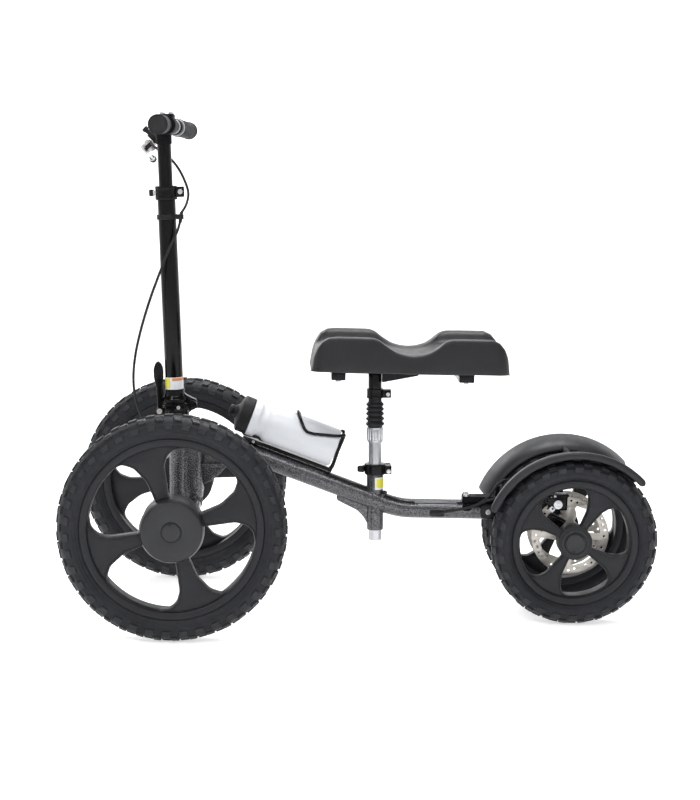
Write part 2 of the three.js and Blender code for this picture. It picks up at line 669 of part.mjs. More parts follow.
// Upper shock tube with its pinch collar and bolt ears.
function shockTube() {
  const tubePart = revolve([[9.4, 270], [12.4, 270], [12.4, 316.5], [0, 316.5], [0, 310], [9.4, 310]], 20);
  const collar = sleeve(12, 15.6, 271, 287, 20);
  const ears = cut(box([12, -8, 271], [30, 8, 286]), disc(13.5, 260, 290, 20));
  return join(tubePart, collar, ears);
}

// Steel channel under the pad: a strip, two cross blocks and the tapered web behind the shock tube.
function padBracket() {
  const strip = box([-66, -16, 453.4], [197, 16, 462.6]);
  const blocks = [[-66, -40], [169, 197]].map(([front, rear]) => box([front, -60, 446], [rear, 60, 462.6]));
  const web = plate([[30, 455], [98, 455], [98, 452], [30, 438]], -13, 13);
  const clearance = seatPlaced(disc(12.8, 270, 316.8, 20));
  return cut(join(strip, ...blocks, web), clearance);
}

// Two long lobes with a channel between them and a dip across the middle.
function kneePad() {
  const { low, high, front, rear, halfWidth } = PAD;
  const side = [[front, low], [front + 6, 490], [front + 11, 508], [front + 20, 521], [front + 34, high],
    [14, 526], [30, 514], [50, 503], [81, 497], [112, 503], [130, 514], [143, 527], [229, 527], [246, 517],
    [256, 495], [rear, low]];
  const half = [[halfWidth + 1, low], [halfWidth - 2, 500], [halfWidth - 10, 518], [60, high], [44, high],
    [22, 520]];
  const otherHalf = half.map(([y, z]) => [-y, z]);
  const section = [...half, [0, 513], ...otherHalf.reverse()];
  const lengthwise = plate(section, front - 5, rear + 5).rotateZ(-Math.PI / 2);
  return common(plate(side, -halfWidth - 2, halfWidth + 2), lengthwise);
}

function seat() {
  const group = new THREE.Group();
  group.position.set(SEAT.x, 0, SEAT.z);
  group.rotation.y = degrees(SEAT.lean);
  group.add(
    piece("seat_clamp", seatClamp(), "blackPaint"),
    piece("seat_clamp_lever", seatLever(), "blackPlastic"),
    piece("seat_post", seatPost(), "aluminium"),
    piece("shock_bellows", bellows(), "rubber"),
    piece("shock_tube", shockTube(), "blackPaint"),
  );
  return group;
}

// ---- Bottle and cage, built along the bottle's axis from its base ----

function bottleBody() {
  const r = BOTTLE_RADIUS;
  return revolve([[0, 3], [28, 3], [31, 0], [r - 2, 1], [r, 6], [r, 128], [r - 2.5, 136], [29, 142],
    [29, 152], [34.5, 155], [34.5, 169.6], [0, 169.6]], 20);
}

function bottleCap() {
  return revolve([[0, 170], [34, 170], [34, 189], [31, 192], [18, 196], [12, 199], [9.5, 202], [9.5, 209],
    [7, 212], [0, 212]], 20);
}

// Wire hoop that rises behind the base, splits to both sides and meets over the bottle, on a flat rail
// with a bracket under the bottle's neck.
function bottleCage() {
  const half = [[-5.4, 8, -40], [-5.4, 9, 0], [-5.4, 14, 24], [-4.2, 21.5, 32.5], [2, 27, 29.4],
    [30, 33.4, 21.8], [56, 36.6, 16], [67, 36.4, 17], [79, 29, 27.9], [87.5, 14.5, 37.4]];
  const otherHalf = half.map(([s, y, n]) => [s, -y, n]);
  const route = [...otherHalf, [91, 0, 40.4], ...half.reverse()];
  const wire = tube(route.map(([s, y, n]) => [n, y, s]), 2.7, { sides: 6, steps: 44 });
  const rail = box([-44.9, -9, -8], [-38, 9, 170]);
  const bracket = box([-44.9, -13, 140], [-37.2, 13, 158]);
  return join(wire, rail, bracket);
}

function bottleGroup() {
  const group = new THREE.Group();
  group.position.set(-53, 0, 309);
  group.rotation.y = -Math.PI / 2 + Math.atan(BEAM.slope);
  group.add(
    piece("bottle_cage", bottleCage(), "blackPaint"),
    piece("bottle", bottleBody(), "white"),
    piece("bottle_cap", bottleCap(), "blackPlastic"),
  );
  return group;
}

// ---- Brake cables along their routes ----

const cableRoutes = {
  upper: [[-409, 82, 868], [-404, 66, 862], [-393, 48, 855], [-376, 32, 845], [-357, 22, 826],
    [-343, 18, 802], [-335, 14, 778], [-338, 0, 757], [-346.5, -8.5, 741.5]],
  lower: [[-347.6, -11.6, 727.5], [-353, -18, 708], [-364, -22, 684], [-382, -24, 637], [-402, -24, 580],
    [-418, -24, 523], [-427, -23, 478], [-430, -22, 439], [-427, -21, 405], [-417, -21, 372],
    [-400, -23, 344], [-374, -26, 326], [-345, -27, 318], [-318, -24, 316], [-300, -19.6, 317.5]],
  rear: [[131, -21.4, 192], [142, -22, 192.2], [158, -23, 196], [189, -26, 203], [215, -28, 212],
    [240, -28.5, 222], [275, -28.5, 230], [310, -33, 233], [330, -42, 231]],
};

function cableBranch() {
  return tube([[215, -28, 212], [236, -22, 226], [258, -8, 251], [280, 12, 252], [300, 28, 240],
    [318, 38, 234], [330, 42, 231]], CABLE_RADIUS, { sides: 8, steps: 12 });
}

function brakeCable(route, steps) {
  return tube(cableRoutes[route], CABLE_RADIUS, { sides: 8, steps });
}

// ---- Assembly ----

const scooter = new THREE.Group();
scooter.add(
  piece("main_beam", mainBeam(), "frame"),
  piece("seat_tube", seatTube(), "frame"),
  piece("front_axle_beam", frontAxleBeam(), "frame"),
  piece("rear_carrier", rearCarrier(), "blackPaint"),
  piece("rear_axle", rearAxle(), "steel"),
  piece("fender_bracket", fenderBracket(), "blackPaint"),
  piece("head_bearing", headBearing(), "blackPaint"),
  piece("steering_shaft", steeringShaft(), "blackPaint"),
  piece("fold_base", foldBase(), "blackPaint"),
  piece("fold_lever", foldLever(), "blackPlastic"),
  piece("fold_casting", foldCasting(), "blackPaint"),
  piece("pad_bracket", padBracket(), "blackPaint"),
  piece("knee_pad", kneePad(), "charcoal"),
  piece("brake_cable_upper", brakeCable("upper", 16), "rubber"),
  piece("brake_cable_lower", brakeCable("lower", 34), "rubber"),
  piece("brake_cable_rear", join(brakeCable("rear", 16), cableBranch()), "rubber"),
  tiller(),
  seat(),
  bottleGroup(),
);

for (const [name, side] of [["left", -1], ["right", 1]]) {
  scooter.add(
    frontWheel(name, side),
    rearWheel(name, side),
    piece(`knuckle_${name}`, knuckle(side), "blackPaint"),
    piece(`tie_rod_${name}`, tieRod(side), "steel"),
    piece(`fender_${name}`, fender(side), "charcoal"),
    piece(`caliper_${name}`, caliper(side), "blackPaint"),
    piece(`caliper_arm_${name}`, caliperArm(side), "steel"),
  );
}

export default scooter;
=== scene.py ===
from math import atan, ceil, cos, degrees, hypot, pi, radians, sin

import bmesh
import bpy
from mathutils import Matrix, Vector


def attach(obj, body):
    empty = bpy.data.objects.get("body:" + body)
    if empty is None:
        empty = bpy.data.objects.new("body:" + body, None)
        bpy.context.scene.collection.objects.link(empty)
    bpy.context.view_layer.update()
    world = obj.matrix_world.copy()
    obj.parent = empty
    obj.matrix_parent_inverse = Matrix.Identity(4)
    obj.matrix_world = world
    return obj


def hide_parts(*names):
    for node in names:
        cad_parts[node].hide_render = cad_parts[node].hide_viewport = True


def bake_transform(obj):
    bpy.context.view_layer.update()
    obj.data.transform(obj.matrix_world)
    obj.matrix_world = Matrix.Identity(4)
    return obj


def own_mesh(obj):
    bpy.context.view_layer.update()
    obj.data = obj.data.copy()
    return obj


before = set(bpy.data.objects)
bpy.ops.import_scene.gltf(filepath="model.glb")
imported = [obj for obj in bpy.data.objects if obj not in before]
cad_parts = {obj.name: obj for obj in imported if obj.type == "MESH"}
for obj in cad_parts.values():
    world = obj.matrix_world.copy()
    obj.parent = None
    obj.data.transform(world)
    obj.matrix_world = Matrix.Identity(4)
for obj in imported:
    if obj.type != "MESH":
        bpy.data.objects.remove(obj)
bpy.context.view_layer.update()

# Shapes are built in millimetres, each in the frame of the group it belongs to.
MM = 0.001
STILL = Matrix.Identity(4)


def turn(axis, angle):
    return Matrix.Rotation(radians(angle), 4, axis)


def shift(x, y, z):
    return Matrix.Translation((x, y, z))


def in_metres(place):
    scaled = place.copy()
    scaled.translation = place.translation * MM
    return scaled


def wheel_place(x, y, z, side):
    return shift(x, side * y, z) @ turn("X", -side * 90)


HEAD = shift(-347, 0, 0)
TILLER = shift(-353.2, 0, 380) @ turn("Y", -3.1)
STEM = TILLER @ turn("Z", -3.3)
BAR = STEM @ shift(7.4, 0, 520.4) @ turn("X", -1.6)
LEVER = BAR @ shift(57 * cos(radians(143)), 92, -57 * sin(radians(143))) @ turn("Y", 143)
SEAT = shift(26, 0, 136) @ turn("Y", -1.63)
BOTTLE = shift(-53, 0, 309) @ turn("Y", degrees(atan(0.36)) - 90)
UPRIGHT = turn("X", 90)
SIDES = (("left", -1), ("right", 1))

# Sizes that several shapes share.
BEAM_RADIUS = 18.5
BEAM_TAIL_Z = 197
BEAM_SLOPE = 0.36
BEND_X = 67.5
BEND_REACH = 26
TILLER_RADIUS = 16.5
BAR_RADIUS = 11
CABLE_RADIUS = 2.4
KINGPIN_X, KINGPIN_Y = -344, 160
REAR_AXLE_X, REAR_AXLE_Z = 391, 156
FRONT_WHEEL = {"radius": 203, "rim": 162, "hub": 56, "half_width": 28, "pitches": 39}
REAR_WHEEL = {"radius": 156, "rim": 118, "hub": 32, "half_width": 29, "pitches": 28}

CABLES = {
    "brake_cable_upper": [
        (-409, 82, 868), (-404, 66, 862), (-393, 48, 855), (-376, 32, 845), (-357, 22, 826),
        (-343, 18, 802), (-335, 14, 778), (-338, 0, 757), (-346.5, -8.5, 741.5)],
    "brake_cable_lower": [
        (-347.6, -11.6, 727.5), (-353, -18, 708), (-364, -22, 684), (-382, -24, 637), (-402, -24, 580),
        (-418, -24, 523), (-427, -23, 478), (-430, -22, 439), (-427, -21, 405), (-417, -21, 372),
        (-400, -23, 344), (-374, -26, 326), (-345, -27, 318), (-318, -24, 316), (-300, -19.6, 317.5)],
    "brake_cable_rear": [
        (131, -21.4, 192), (142, -22, 192.2), (158, -23, 196), (189, -26, 203), (215, -28, 212),
        (240, -28.5, 222), (275, -28.5, 230), (310, -33, 233), (330, -42, 231)],
}
BRANCH = [(215, -28, 212), (236, -22, 226), (258, -8, 251), (280, 12, 252), (300, 28, 240),
          (318, 38, 234), (330, 42, 231)]


# ---- Shape building ----

def smooth_path(points, per_span=6):
    """A centripetal Catmull-Rom curve through the points."""
    known = [Vector(p) for p in points]
    known = [2 * known[0] - known[1], *known, 2 * known[-1] - known[-2]]
    path = []
    for a, b, c, d in zip(known, known[1:], known[2:], known[3:]):
        first, middle, last = ((q - p).length ** 0.5 for p, q in ((a, b), (b, c), (c, d)))
        leave = ((b - a) / first - (c - a) / (first + middle) + (c - b) / middle) * middle
        arrive = ((c - b) / middle - (d - b) / (middle + last) + (d - c) / last) * middle
        for step in range(per_span):
            t = step / per_span
            path.append(b + leave * t + (3 * (c - b) - 2 * leave - arrive) * t ** 2
                        + (2 * (b - c) + leave + arrive) * t ** 3)
    return path + [known[-2]]


def soften(loop, radius, steps=3, closed=True):
    """A flat loop with each corner rounded."""
    rounded = []
    points = [Vector(p) for p in loop]
    for i, corner in enumerate(points):
        if not closed and i in (0, len(points) - 1):
            rounded.append(corner)
            continue
        before, after = points[i - 1], points[(i + 1) % len(points)]
        reach = min(radius, 0.45 * (before - corner).length, 0.45 * (after - corner).length)
        start = corner + (before - corner).normalized() * reach
        end = corner + (after - corner).normalized() * reach
        for step in range(steps + 1):
            t = step / steps
            rounded.append(start * (1 - t) ** 2 + corner * 2 * t * (1 - t) + end * t ** 2)
    return [tuple(p) for p in rounded]


def polar(radius, angle):
    return radius * cos(radians(angle)), radius * sin(radians(angle))


def ring_of(radius, sides=48, centre=(0, 0)):
    return [(centre[0] + radius * cos(2 * pi * i / sides), centre[1] + radius * sin(2 * pi * i / sides))
            for i in range(sides)]


def aim(start, end):
    """A place whose Z axis runs from start towards end."""
    along = Vector(end) - Vector(start)
    return Matrix.Translation(start) @ Vector((0, 0, 1)).rotation_difference(along).to_matrix().to_4x4()


class Shape:
    """Closed shells in millimetres, gathered into one mesh."""

    def __init__(self):
        self.points = []
        self.faces = []

    def add(self, points, faces, place=STILL):
        base = len(self.points)
        self.points += [place @ Vector(p) for p in points]
        self.faces += [[base + i for i in face] for face in faces]
        return self

    def loft(self, rings, place=STILL, around=True, cap=True):
        """Skin over rings of equal length: closed lengthwise if around, else capped."""
        count, sides = len(rings), len(rings[0])
        spans = count if around else count - 1
        faces = [(i * sides + j, i * sides + (j + 1) % sides,
                  (i + 1) % count * sides + (j + 1) % sides, (i + 1) % count * sides + j)
                 for i in range(spans) for j in range(sides)]
        if not around and cap:
            faces += [list(range(sides)), [(count - 1) * sides + j for j in range(sides)]]
        return self.add([p for ring in rings for p in ring], faces, place)

    def lathe(self, profile, place=STILL, sides=72, edge=0.6):
        """A profile of (radius, height) turned about Z, with softened corners."""
        closed = profile[0][0] > 0
        outline = soften(profile, edge, 2, closed) if edge else profile
        rings = [[(r * cos(2 * pi * i / sides), r * sin(2 * pi * i / sides), z) for i in range(sides)]
                 for r, z in outline]
        return self.loft(rings, place, closed, False)

    def disc(self, radius, low, high, place=STILL, sides=48, edge=0.8):
        return self.lathe([(0, low), (radius, low), (radius, high), (0, high)], place, sides, edge)

    def sleeve(self, inner, outer, low, high, place=STILL, sides=64, edge=0.6):
        profile = [(inner, low), (outer, low), (outer, high), (inner, high)]
        return self.lathe(profile, place, sides, edge)

    def rod(self, start, end, radius, place=STILL, sides=36, edge=0.6):
        return self.disc(radius, 0, (Vector(end) - Vector(start)).length, place @ aim(start, end), sides,
                         edge)

    def tube(self, path, radius, place=STILL, sides=16):
        """A round section along a path: radius is a number, or one for each point."""
        path = [Vector(p) for p in path]
        radii = radius if isinstance(radius, list) else [radius] * len(path)
        ways = [(b - a).normalized() for a, b in zip(path[:1] + path[:-1], path[1:] + path[-1:])]
        side = ways[0].orthogonal().normalized()
        rings = []
        for i, (point, way, size) in enumerate(zip(path, ways, radii)):
            if i:
                side = (ways[i - 1].rotation_difference(way) @ side).normalized()
            up = way.cross(side)
            rings.append([point + (side * cos(2 * pi * j / sides) + up * sin(2 * pi * j / sides)) * size
                          for j in range(sides)])
        return self.loft(rings, place, False)

    def bent(self, points, radius, place=STILL, sides=16, per_span=6):
        return self.tube(smooth_path(points, per_span), radius, place, sides)

    def plate(self, loops, low, high, place=STILL, edge=0.8):
        """A flat plate from an outline and its holes, with rounded edges."""
        curve = bpy.data.curves.new("outline", "CURVE")
        curve.dimensions = "2D"
        curve.fill_mode = "BOTH"
        curve.extrude = (high - low) / 2 - edge
        curve.bevel_depth = edge
        curve.bevel_resolution = 2
        curve.offset = -edge
        for loop in loops:
            spline = curve.splines.new("POLY")
            spline.points.add(len(loop) - 1)
            for point, (x, y) in zip(spline.points, loop):
                point.co = (x, y, 0, 1)
            spline.use_cyclic_u = True
        carrier = bpy.data.objects.new("outline", curve)
        mesh = carrier.to_mesh()
        self.add([v.co for v in mesh.vertices], [list(face.vertices) for face in mesh.polygons],
                 place @ shift(0, 0, (low + high) / 2))
        carrier.to_mesh_clear()
        bpy.data.objects.remove(carrier)
        bpy.data.curves.remove(curve)
        return self

    def side_plate(self, outline, low, high, edge=0.8, corner=1.5, holes=(), place=STILL):
        """A plate from an (x, z) outline between two places along Y, given in either order."""
        low, high = sorted((low, high))
        return self.plate([soften(outline, corner), *holes], -high, -low, place @ UPRIGHT, edge)

    def slab(self, outline, low, high, edge=0.8, corner=1.5, holes=(), place=STILL):
        return self.plate([soften(outline, corner), *holes], low, high, place, edge)

    def block(self, low, high, place=STILL, corner=1.5, edge=0.8):
        """A box between two opposite corners."""
        low, high = zip(*(sorted(pair) for pair in zip(low, high)))
        outline = [(low[0], low[1]), (high[0], low[1]), (high[0], high[1]), (low[0], high[1])]
        return self.slab(outline, low[2], high[2], edge, corner, (), place)

    def bolt(self, start, end, radius, place=STILL, sides=32):
        """A socket-head bolt whose head runs from start to end."""
        place = place @ aim(start, end)
        length = (Vector(end) - Vector(start)).length
        socket = [polar(0.52 * radius, 60 * i) for i in range(6)]
        self.plate([ring_of(radius, sides), socket], 0.35 * length, length, place, min(0.5, 0.1 * radius))
        return self.disc(radius * 0.97, 0, 0.4 * length, place, sides, 0)

    def fluted(self, radius, depth, count, low, high, place=STILL, edge=0.5):
        loop = [polar(radius - depth * (step in (0, 3)), 360 * (i + step / 4) / count)
                for i in range(count) for step in range(4)]
        return self.plate([loop], low, high, place, edge)

    def arc_band(self, inner, outer, low, high, start, end, place=STILL, edge=0.1):
        """Part of a sleeve between two angles."""
        steps = max(2, ceil(abs(end - start) / 5))
        angles = [start + (end - start) * i / steps for i in range(steps + 1)]
        outline = [polar(outer, a) for a in angles] + [polar(inner, a) for a in reversed(angles)]
        return self.plate([outline], low, high, place, edge)

    def weld(self, tube_at, along, radius, other_at, other_along, other_radius, bead=2.2, place=STILL):
        """A rippled bead where one round tube meets another."""
        along, other_along = Vector(along).normalized(), Vector(other_along).normalized()
        side = along.orthogonal().normalized()
        up = along.cross(side)
        path, sizes = [], []
        for i in range(96):
            angle = 2 * pi * i / 96
            point = Vector(tube_at) + (side * cos(angle) + up * sin(angle)) * (radius + 0.3)
            for _ in range(400):
                away = point - Vector(other_at)
                away -= other_along * away.dot(other_along)
                if away.length >= other_radius + 0.3:
                    break
                point = point + along * 0.5
            path.append(point)
            sizes.append(bead * (1 + 0.16 * sin(angle * 24)))
        rings = []
        for i, point in enumerate(path):
            way = (path[(i + 1) % 96] - path[i - 1]).normalized()
            out = way.cross(along).normalized()
            rise = way.cross(out)
            rings.append([point + (out * cos(pi * j / 4) + rise * sin(pi * j / 4)) * sizes[i]
                          for j in range(8)])
        return self.loft(rings, place)


def piece(name, shape, body, slot, place=STILL, replaces=(), surface=None, sharp=35, bevel=0):
    """One visible piece, in place, riding on its body."""
    mesh = bpy.data.meshes.new(name)
    mesh.from_pydata([tuple(p * MM) for p in shape.points], [], shape.faces)
    work = bmesh.new()
    work.from_mesh(mesh)
    bmesh.ops.remove_doubles(work, verts=work.verts, dist=2e-6)
    bmesh.ops.dissolve_degenerate(work, edges=work.edges, dist=1e-6)
    bmesh.ops.recalc_face_normals(work, faces=work.faces)
    work.to_mesh(mesh)
    work.free()
    for face in mesh.polygons:
        face.use_smooth = True
    mesh.set_sharp_from_angle(angle=radians(sharp))
    mesh.materials.append(SURFACES[surface or slot])
    made = bpy.data.objects.new(name, mesh)
    bpy.context.scene.collection.objects.link(made)
    made.matrix_world = in_metres(place)
    if bevel:
        rounding = made.modifiers.new("rounded edges", "BEVEL")
        rounding.width = bevel * MM
        rounding.segments = 2
        rounding.limit_method = "ANGLE"
        rounding.angle_limit = radians(40)
    bpy.context.view_layer.update()
    if body:
        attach(made, body)
    if replaces:
        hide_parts(*replaces)
    return made


# ---- Surfaces ----

class Nodes:
    """A material's node tree, with short calls for its nodes and links."""

    def __init__(self, name):
        self.material = bpy.data.materials.new(name)
        self.material.use_nodes = True
        self.tree = self.material.node_tree
        self.shader = self.tree.nodes["Principled BSDF"]
        self.place = self.add("ShaderNodeTexCoord").outputs["Object"]

    def add(self, kind, **settings):
        node = self.tree.nodes.new(kind)
        for key, value in settings.items():
            setattr(node, key, value)
        return node

    def link(self, source, target):
        self.tree.links.new(source, target)

    def stretched(self, scale):
        node = self.add("ShaderNodeMapping")
        node.inputs["Scale"].default_value = scale
        self.link(self.place, node.inputs["Vector"])
        return node.outputs["Vector"]

    def noise(self, scale, detail=3.0, vector=None):
        node = self.add("ShaderNodeTexNoise")
        node.inputs["Scale"].default_value = scale
        node.inputs["Detail"].default_value = detail
        self.link(vector or self.place, node.inputs["Vector"])
        return node.outputs["Fac"]

    def cells(self, scale, vector=None):
        node = self.add("ShaderNodeTexVoronoi", feature="SMOOTH_F1")
        node.inputs["Scale"].default_value = scale
        self.link(vector or self.place, node.inputs["Vector"])
        return node.outputs["Distance"]

    def ranged(self, value, low, high, start=0.3, end=0.7):
        node = self.add("ShaderNodeMapRange")
        for key, number in (("From Min", start), ("From Max", end), ("To Min", low), ("To Max", high)):
            node.inputs[key].default_value = number
        self.link(value, node.inputs["Value"])
        return node.outputs["Result"]

    def mixed(self, factor, first, second):
        node = self.add("ShaderNodeMix", data_type="RGBA")
        self.link(factor, node.inputs["Factor"])
        for socket, colour in ((node.inputs[6], first), (node.inputs[7], second)):
            if isinstance(colour, tuple):
                socket.default_value = (*colour, 1)
            else:
                self.link(colour, socket)
        return node.outputs[2]

    def bump(self, height, distance, under=None, strength=1.0):
        node = self.add("ShaderNodeBump")
        node.inputs["Strength"].default_value = strength
        node.inputs["Distance"].default_value = distance
        self.link(height, node.inputs["Height"])
        if under:
            self.link(under, node.inputs["Normal"])
        return node.outputs["Normal"]


def surface(name, colour, other, rough, metal=0.0, grain=900.0, depth=0.00006, mottle=14.0, coat=0.0,
            cells=0.0, cell_depth=0.0, stretch=None, specular=0.5):
    """Two close colours mottled together, roughness that varies, and a fine grain in the bump."""
    nodes = Nodes(name)
    along = nodes.stretched(stretch) if stretch else None
    patches = nodes.noise(mottle, 4.0)
    nodes.link(nodes.mixed(nodes.ranged(patches, 0, 1), colour, other), nodes.shader.inputs["Base Color"])
    wear = nodes.noise(mottle * 6, 5.0, along)
    nodes.link(nodes.ranged(wear, rough[0], rough[1]), nodes.shader.inputs["Roughness"])
    normal = nodes.bump(nodes.noise(grain, 2.0, along), depth)
    if cells:
        normal = nodes.bump(nodes.cells(cells), cell_depth, normal)
    nodes.link(normal, nodes.shader.inputs["Normal"])
    nodes.shader.inputs["Metallic"].default_value = metal
    nodes.shader.inputs["Coat Weight"].default_value = coat
    nodes.shader.inputs["Coat Roughness"].default_value = 0.12
    nodes.shader.inputs["Specular IOR Level"].default_value = specular
    return nodes.material


SURFACES = {
    "frame_paint": surface("hammered grey enamel", (0.008, 0.008, 0.0094), (0.16, 0.162, 0.17), (0.2, 0.32),
                           0.9, mottle=470, cells=470, cell_depth=0.0004, coat=0.2, specular=0.5),
    "black_paint": surface("gloss black enamel", (0.0022, 0.0022, 0.0026), (0.0036, 0.0036, 0.0042),
                           (0.13, 0.24), 0.0, 420, 0.00003, specular=0.18),
    "black_plastic": surface("black plastic", (0.0045, 0.0047, 0.0054), (0.0075, 0.0078, 0.009), (0.42, 0.6),
                             grain=1400, depth=0.00008, specular=0.24),
    "charcoal_plastic": surface("charcoal plastic", (0.0088, 0.0094, 0.0116), (0.012, 0.0128, 0.0156),
                                (0.36, 0.5), grain=1100, depth=0.00007, specular=0.26),
    "pad_foam": surface("moulded pad skin", (0.0078, 0.0081, 0.0094), (0.0108, 0.0112, 0.0128), (0.38, 0.5),
                        grain=1500, depth=0.00008, cells=650, cell_depth=0.0001, specular=0.3),
    "tyre": surface("tyre rubber", (0.0072, 0.0081, 0.0102), (0.0118, 0.013, 0.016), (0.46, 0.68), grain=700,
                    depth=0.00012, mottle=22, specular=0.26),
    "rubber": surface("black rubber", (0.007, 0.007, 0.008), (0.011, 0.011, 0.0125), (0.5, 0.7), grain=800,
                      depth=0.0001, specular=0.3),
    "aluminium": surface("brushed aluminium", (0.56, 0.57, 0.59), (0.44, 0.45, 0.47), (0.22, 0.36), 1.0, 60,
                         0.00003, stretch=(6, 6, 260)),
    "steel": surface("ground steel", (0.56, 0.53, 0.49), (0.48, 0.455, 0.42), (0.34, 0.46), 0.85, 300,
                     0.00001),
    "white_plastic": surface("white plastic", (0.60, 0.615, 0.645), (0.56, 0.575, 0.605), (0.3, 0.42),
                             grain=500, depth=0.00004),
    "yellow_film": surface("yellow film", (0.66, 0.60, 0.03), (0.55, 0.49, 0.03), (0.3, 0.42), grain=500,
                           depth=0.00003),
    "orange_film": surface("orange film", (0.58, 0.22, 0.05), (0.46, 0.16, 0.04), (0.3, 0.42), grain=500,
                           depth=0.00003),
    "silver_film": surface("silver film", (0.36, 0.37, 0.38), (0.27, 0.28, 0.29), (0.3, 0.45), 0.5, 500,
                           0.00003),
    "tread_rubber": surface("tread rubber", (0.0085, 0.0093, 0.0112), (0.017, 0.0185, 0.022), (0.44, 0.62),
                            grain=700, depth=0.00012, mottle=30, specular=0.34),
    # The mudguards take a lighter copy of the charcoal plastic. The extra lightness is painted light,
    # standing in for the light that falls on their tops and lips.
    "lit_mudguard_plastic": surface("mudguard plastic lightened as painted light", (0.0125, 0.0133, 0.0155), (0.0165, 0.0175, 0.0202),
                                (0.4, 0.52), grain=1100, depth=0.00006, specular=0.3),
    "matt_black": surface("matt black enamel", (0.0028, 0.0028, 0.0032), (0.0042, 0.0042, 0.005), (0.5, 0.66),
                          0.0, 420, 0.00003, specular=0.08),
    "cap_plastic": surface("satin cap plastic", (0.0145, 0.0153, 0.0178), (0.0182, 0.0191, 0.022),
                           (0.34, 0.44), grain=1100, depth=0.00005, specular=0.34),
}


# ---- Camera, then the cords ----

def add_camera():
    yaw, pitch, roll = radians(2.51), radians(8.65), radians(1.5)
    forward = Vector((sin(yaw) * cos(pitch), cos(yaw) * cos(pitch), -sin(pitch)))
    right = forward.cross(Vector((0, 0, 1))).normalized()
    up = right.cross(forward)
    turned_right = right * cos(roll) + up * sin(roll)
    turned_up = up * cos(roll) - right * sin(roll)
    lens = bpy.data.cameras.new("camera")
    lens.lens = 81
    lens.sensor_width = 36
    camera = bpy.data.objects.new("camera", lens)
    camera.matrix_world = (Matrix.Translation((-0.174, -3.322, 0.907))
                           @ Matrix((turned_right, turned_up, -forward)).transposed().to_4x4())
    bpy.context.scene.collection.objects.link(camera)
    bpy.context.scene.camera = camera


def add_cables():
    """Each cord's run, the node it stands for, and the two bodies it spans, if it has two: such a cord rides
    on no body and has its shape baked in place, while the others ride on the frame.
    """
    lower = smooth_path(CABLES["brake_cable_lower"])
    middle = len(lower) // 2 + 2
    for name, run, node, bodies, held in (
            ("upper_sheath", smooth_path(CABLES["brake_cable_upper"]), "upper",
             ("handlebar_stem", "tiller"), 12),
            ("lower_front", lower[:middle + 1], "lower", ("tiller", "column"), 2),
            ("lower_back", lower[middle:], "lower", ("column", "frame"), 2),
            ("rear_left", smooth_path(CABLES["brake_cable_rear"]), "rear", None, 0),
            ("rear_right", smooth_path(BRANCH), "rear", None, 0)):
        cable = piece(f"brake_cable_{name}", Shape().tube(run, CABLE_RADIUS, sides=12),
                      None if bodies else "frame",
                      "rubber", replaces=[f"brake_cable_{node}"])
        if bodies:
            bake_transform(cable)


# ---- Wheels ----

class Tread:
    """The outside of a tyre, as points at a distance across it and an angle round it."""

    def __init__(self, half):
        self.half = [Vector(p) for p in half]

    def at(self, across, angle, height=0.0):
        left = abs(across)
        for a, b in zip(self.half, self.half[1:]):
            length = (b - a).length
            if left <= length or b is self.half[-1]:
                break
            left -= length
        way = (b - a) / length
        r, z = a + way * left + Vector((-way.y, way.x)) * -height
        if across < 0:
            z = -z
        return r * cos(angle), r * sin(angle), z

    def lug(self, shape, across, angle, deep, wide, height, skew=0.0, taper=0.8):
        """A block standing on the tread, deep across it and wide round it, both in millimetres."""
        radius = hypot(*self.at(across, 0)[:2])
        corners = [(-1, -1), (1, -1), (1, 1), (-1, 1)]
        points = []
        for level, inset in ((-1.0, 0.0), (height, taper)):
            for a, w in corners:
                distance = across + a * (deep / 2 - inset)
                offset = (w * (wide / 2 - inset) + skew * a * deep / 2) / radius
                points.append(self.at(distance, angle + offset, level))
        shape.add(points, [(0, 1, 2, 3), (4, 5, 6, 7), (0, 1, 5, 4), (1, 2, 6, 5), (2, 3, 7, 6),
                           (3, 0, 4, 7)])


def tyre(name, place, body, sizes):
    radius, rim, pitches = sizes["radius"], sizes["rim"], sizes["pitches"]
    crown, bulge = radius - 3.4, sizes["half_width"] - 0.9
    shoulder = radius - rim
    half = [(crown, 0), (crown - 0.5, 8), (crown - 2.4, 14), (crown - 5.6, 19.5), (crown - 10, 23.8),
            (rim + 0.60 * shoulder, bulge - 1.2), (rim + 0.42 * shoulder, bulge),
            (rim + 0.27 * shoulder, bulge - 0.8), (rim + 0.14 * shoulder, bulge - 3.4), (rim + 1.6, 21.9)]
    fine = [(r, z) for r, z, _ in smooth_path([(r, z, 0) for r, z in half], 4)]
    for share in (0.17, 0.30):
        for i, (r, z) in enumerate(fine):
            if abs(r - rim - share * shoulder) < 0.035 * shoulder:
                fine[i] = (r, z + 0.55)
    carcass = Shape()
    carcass.lathe([(rim - 4, 17.2)] + [(rim - 4, -17.2)] + [(r, -z) for r, z in reversed(fine)] + fine,
                  sides=180, edge=0)
    tread = Tread(fine)
    lugs = Shape()
    spacing = 2 * pi * radius / pitches
    for i in range(pitches):
        angle = 2 * pi * i / pitches
        between = angle + pi / pitches
        for sign in (-1, 1):
            tread.lug(lugs, sign * (29.2 + 0.02 * radius), angle, 9, 0.47 * spacing, 2.4, 0.15 * sign)
            tread.lug(lugs, sign * 18, between, 9.5, 0.42 * spacing, 3.2, -0.3 * sign)
        tread.lug(lugs, 0, angle, 12, 0.5 * spacing, 3.2, 0.2)
        tread.lug(lugs, 9.5 * (-1) ** i, between, 7, 0.4 * spacing, 3.2)
    end, label = name.split("_tyre_")
    piece(f"{end}_tyre_carcass_{label}", carcass, body, "tyre", place, [name])
    piece(f"{end}_tyre_lugs_{label}", lugs, body, "tyre", place, [name], bevel=0.5, surface="tread_rubber")


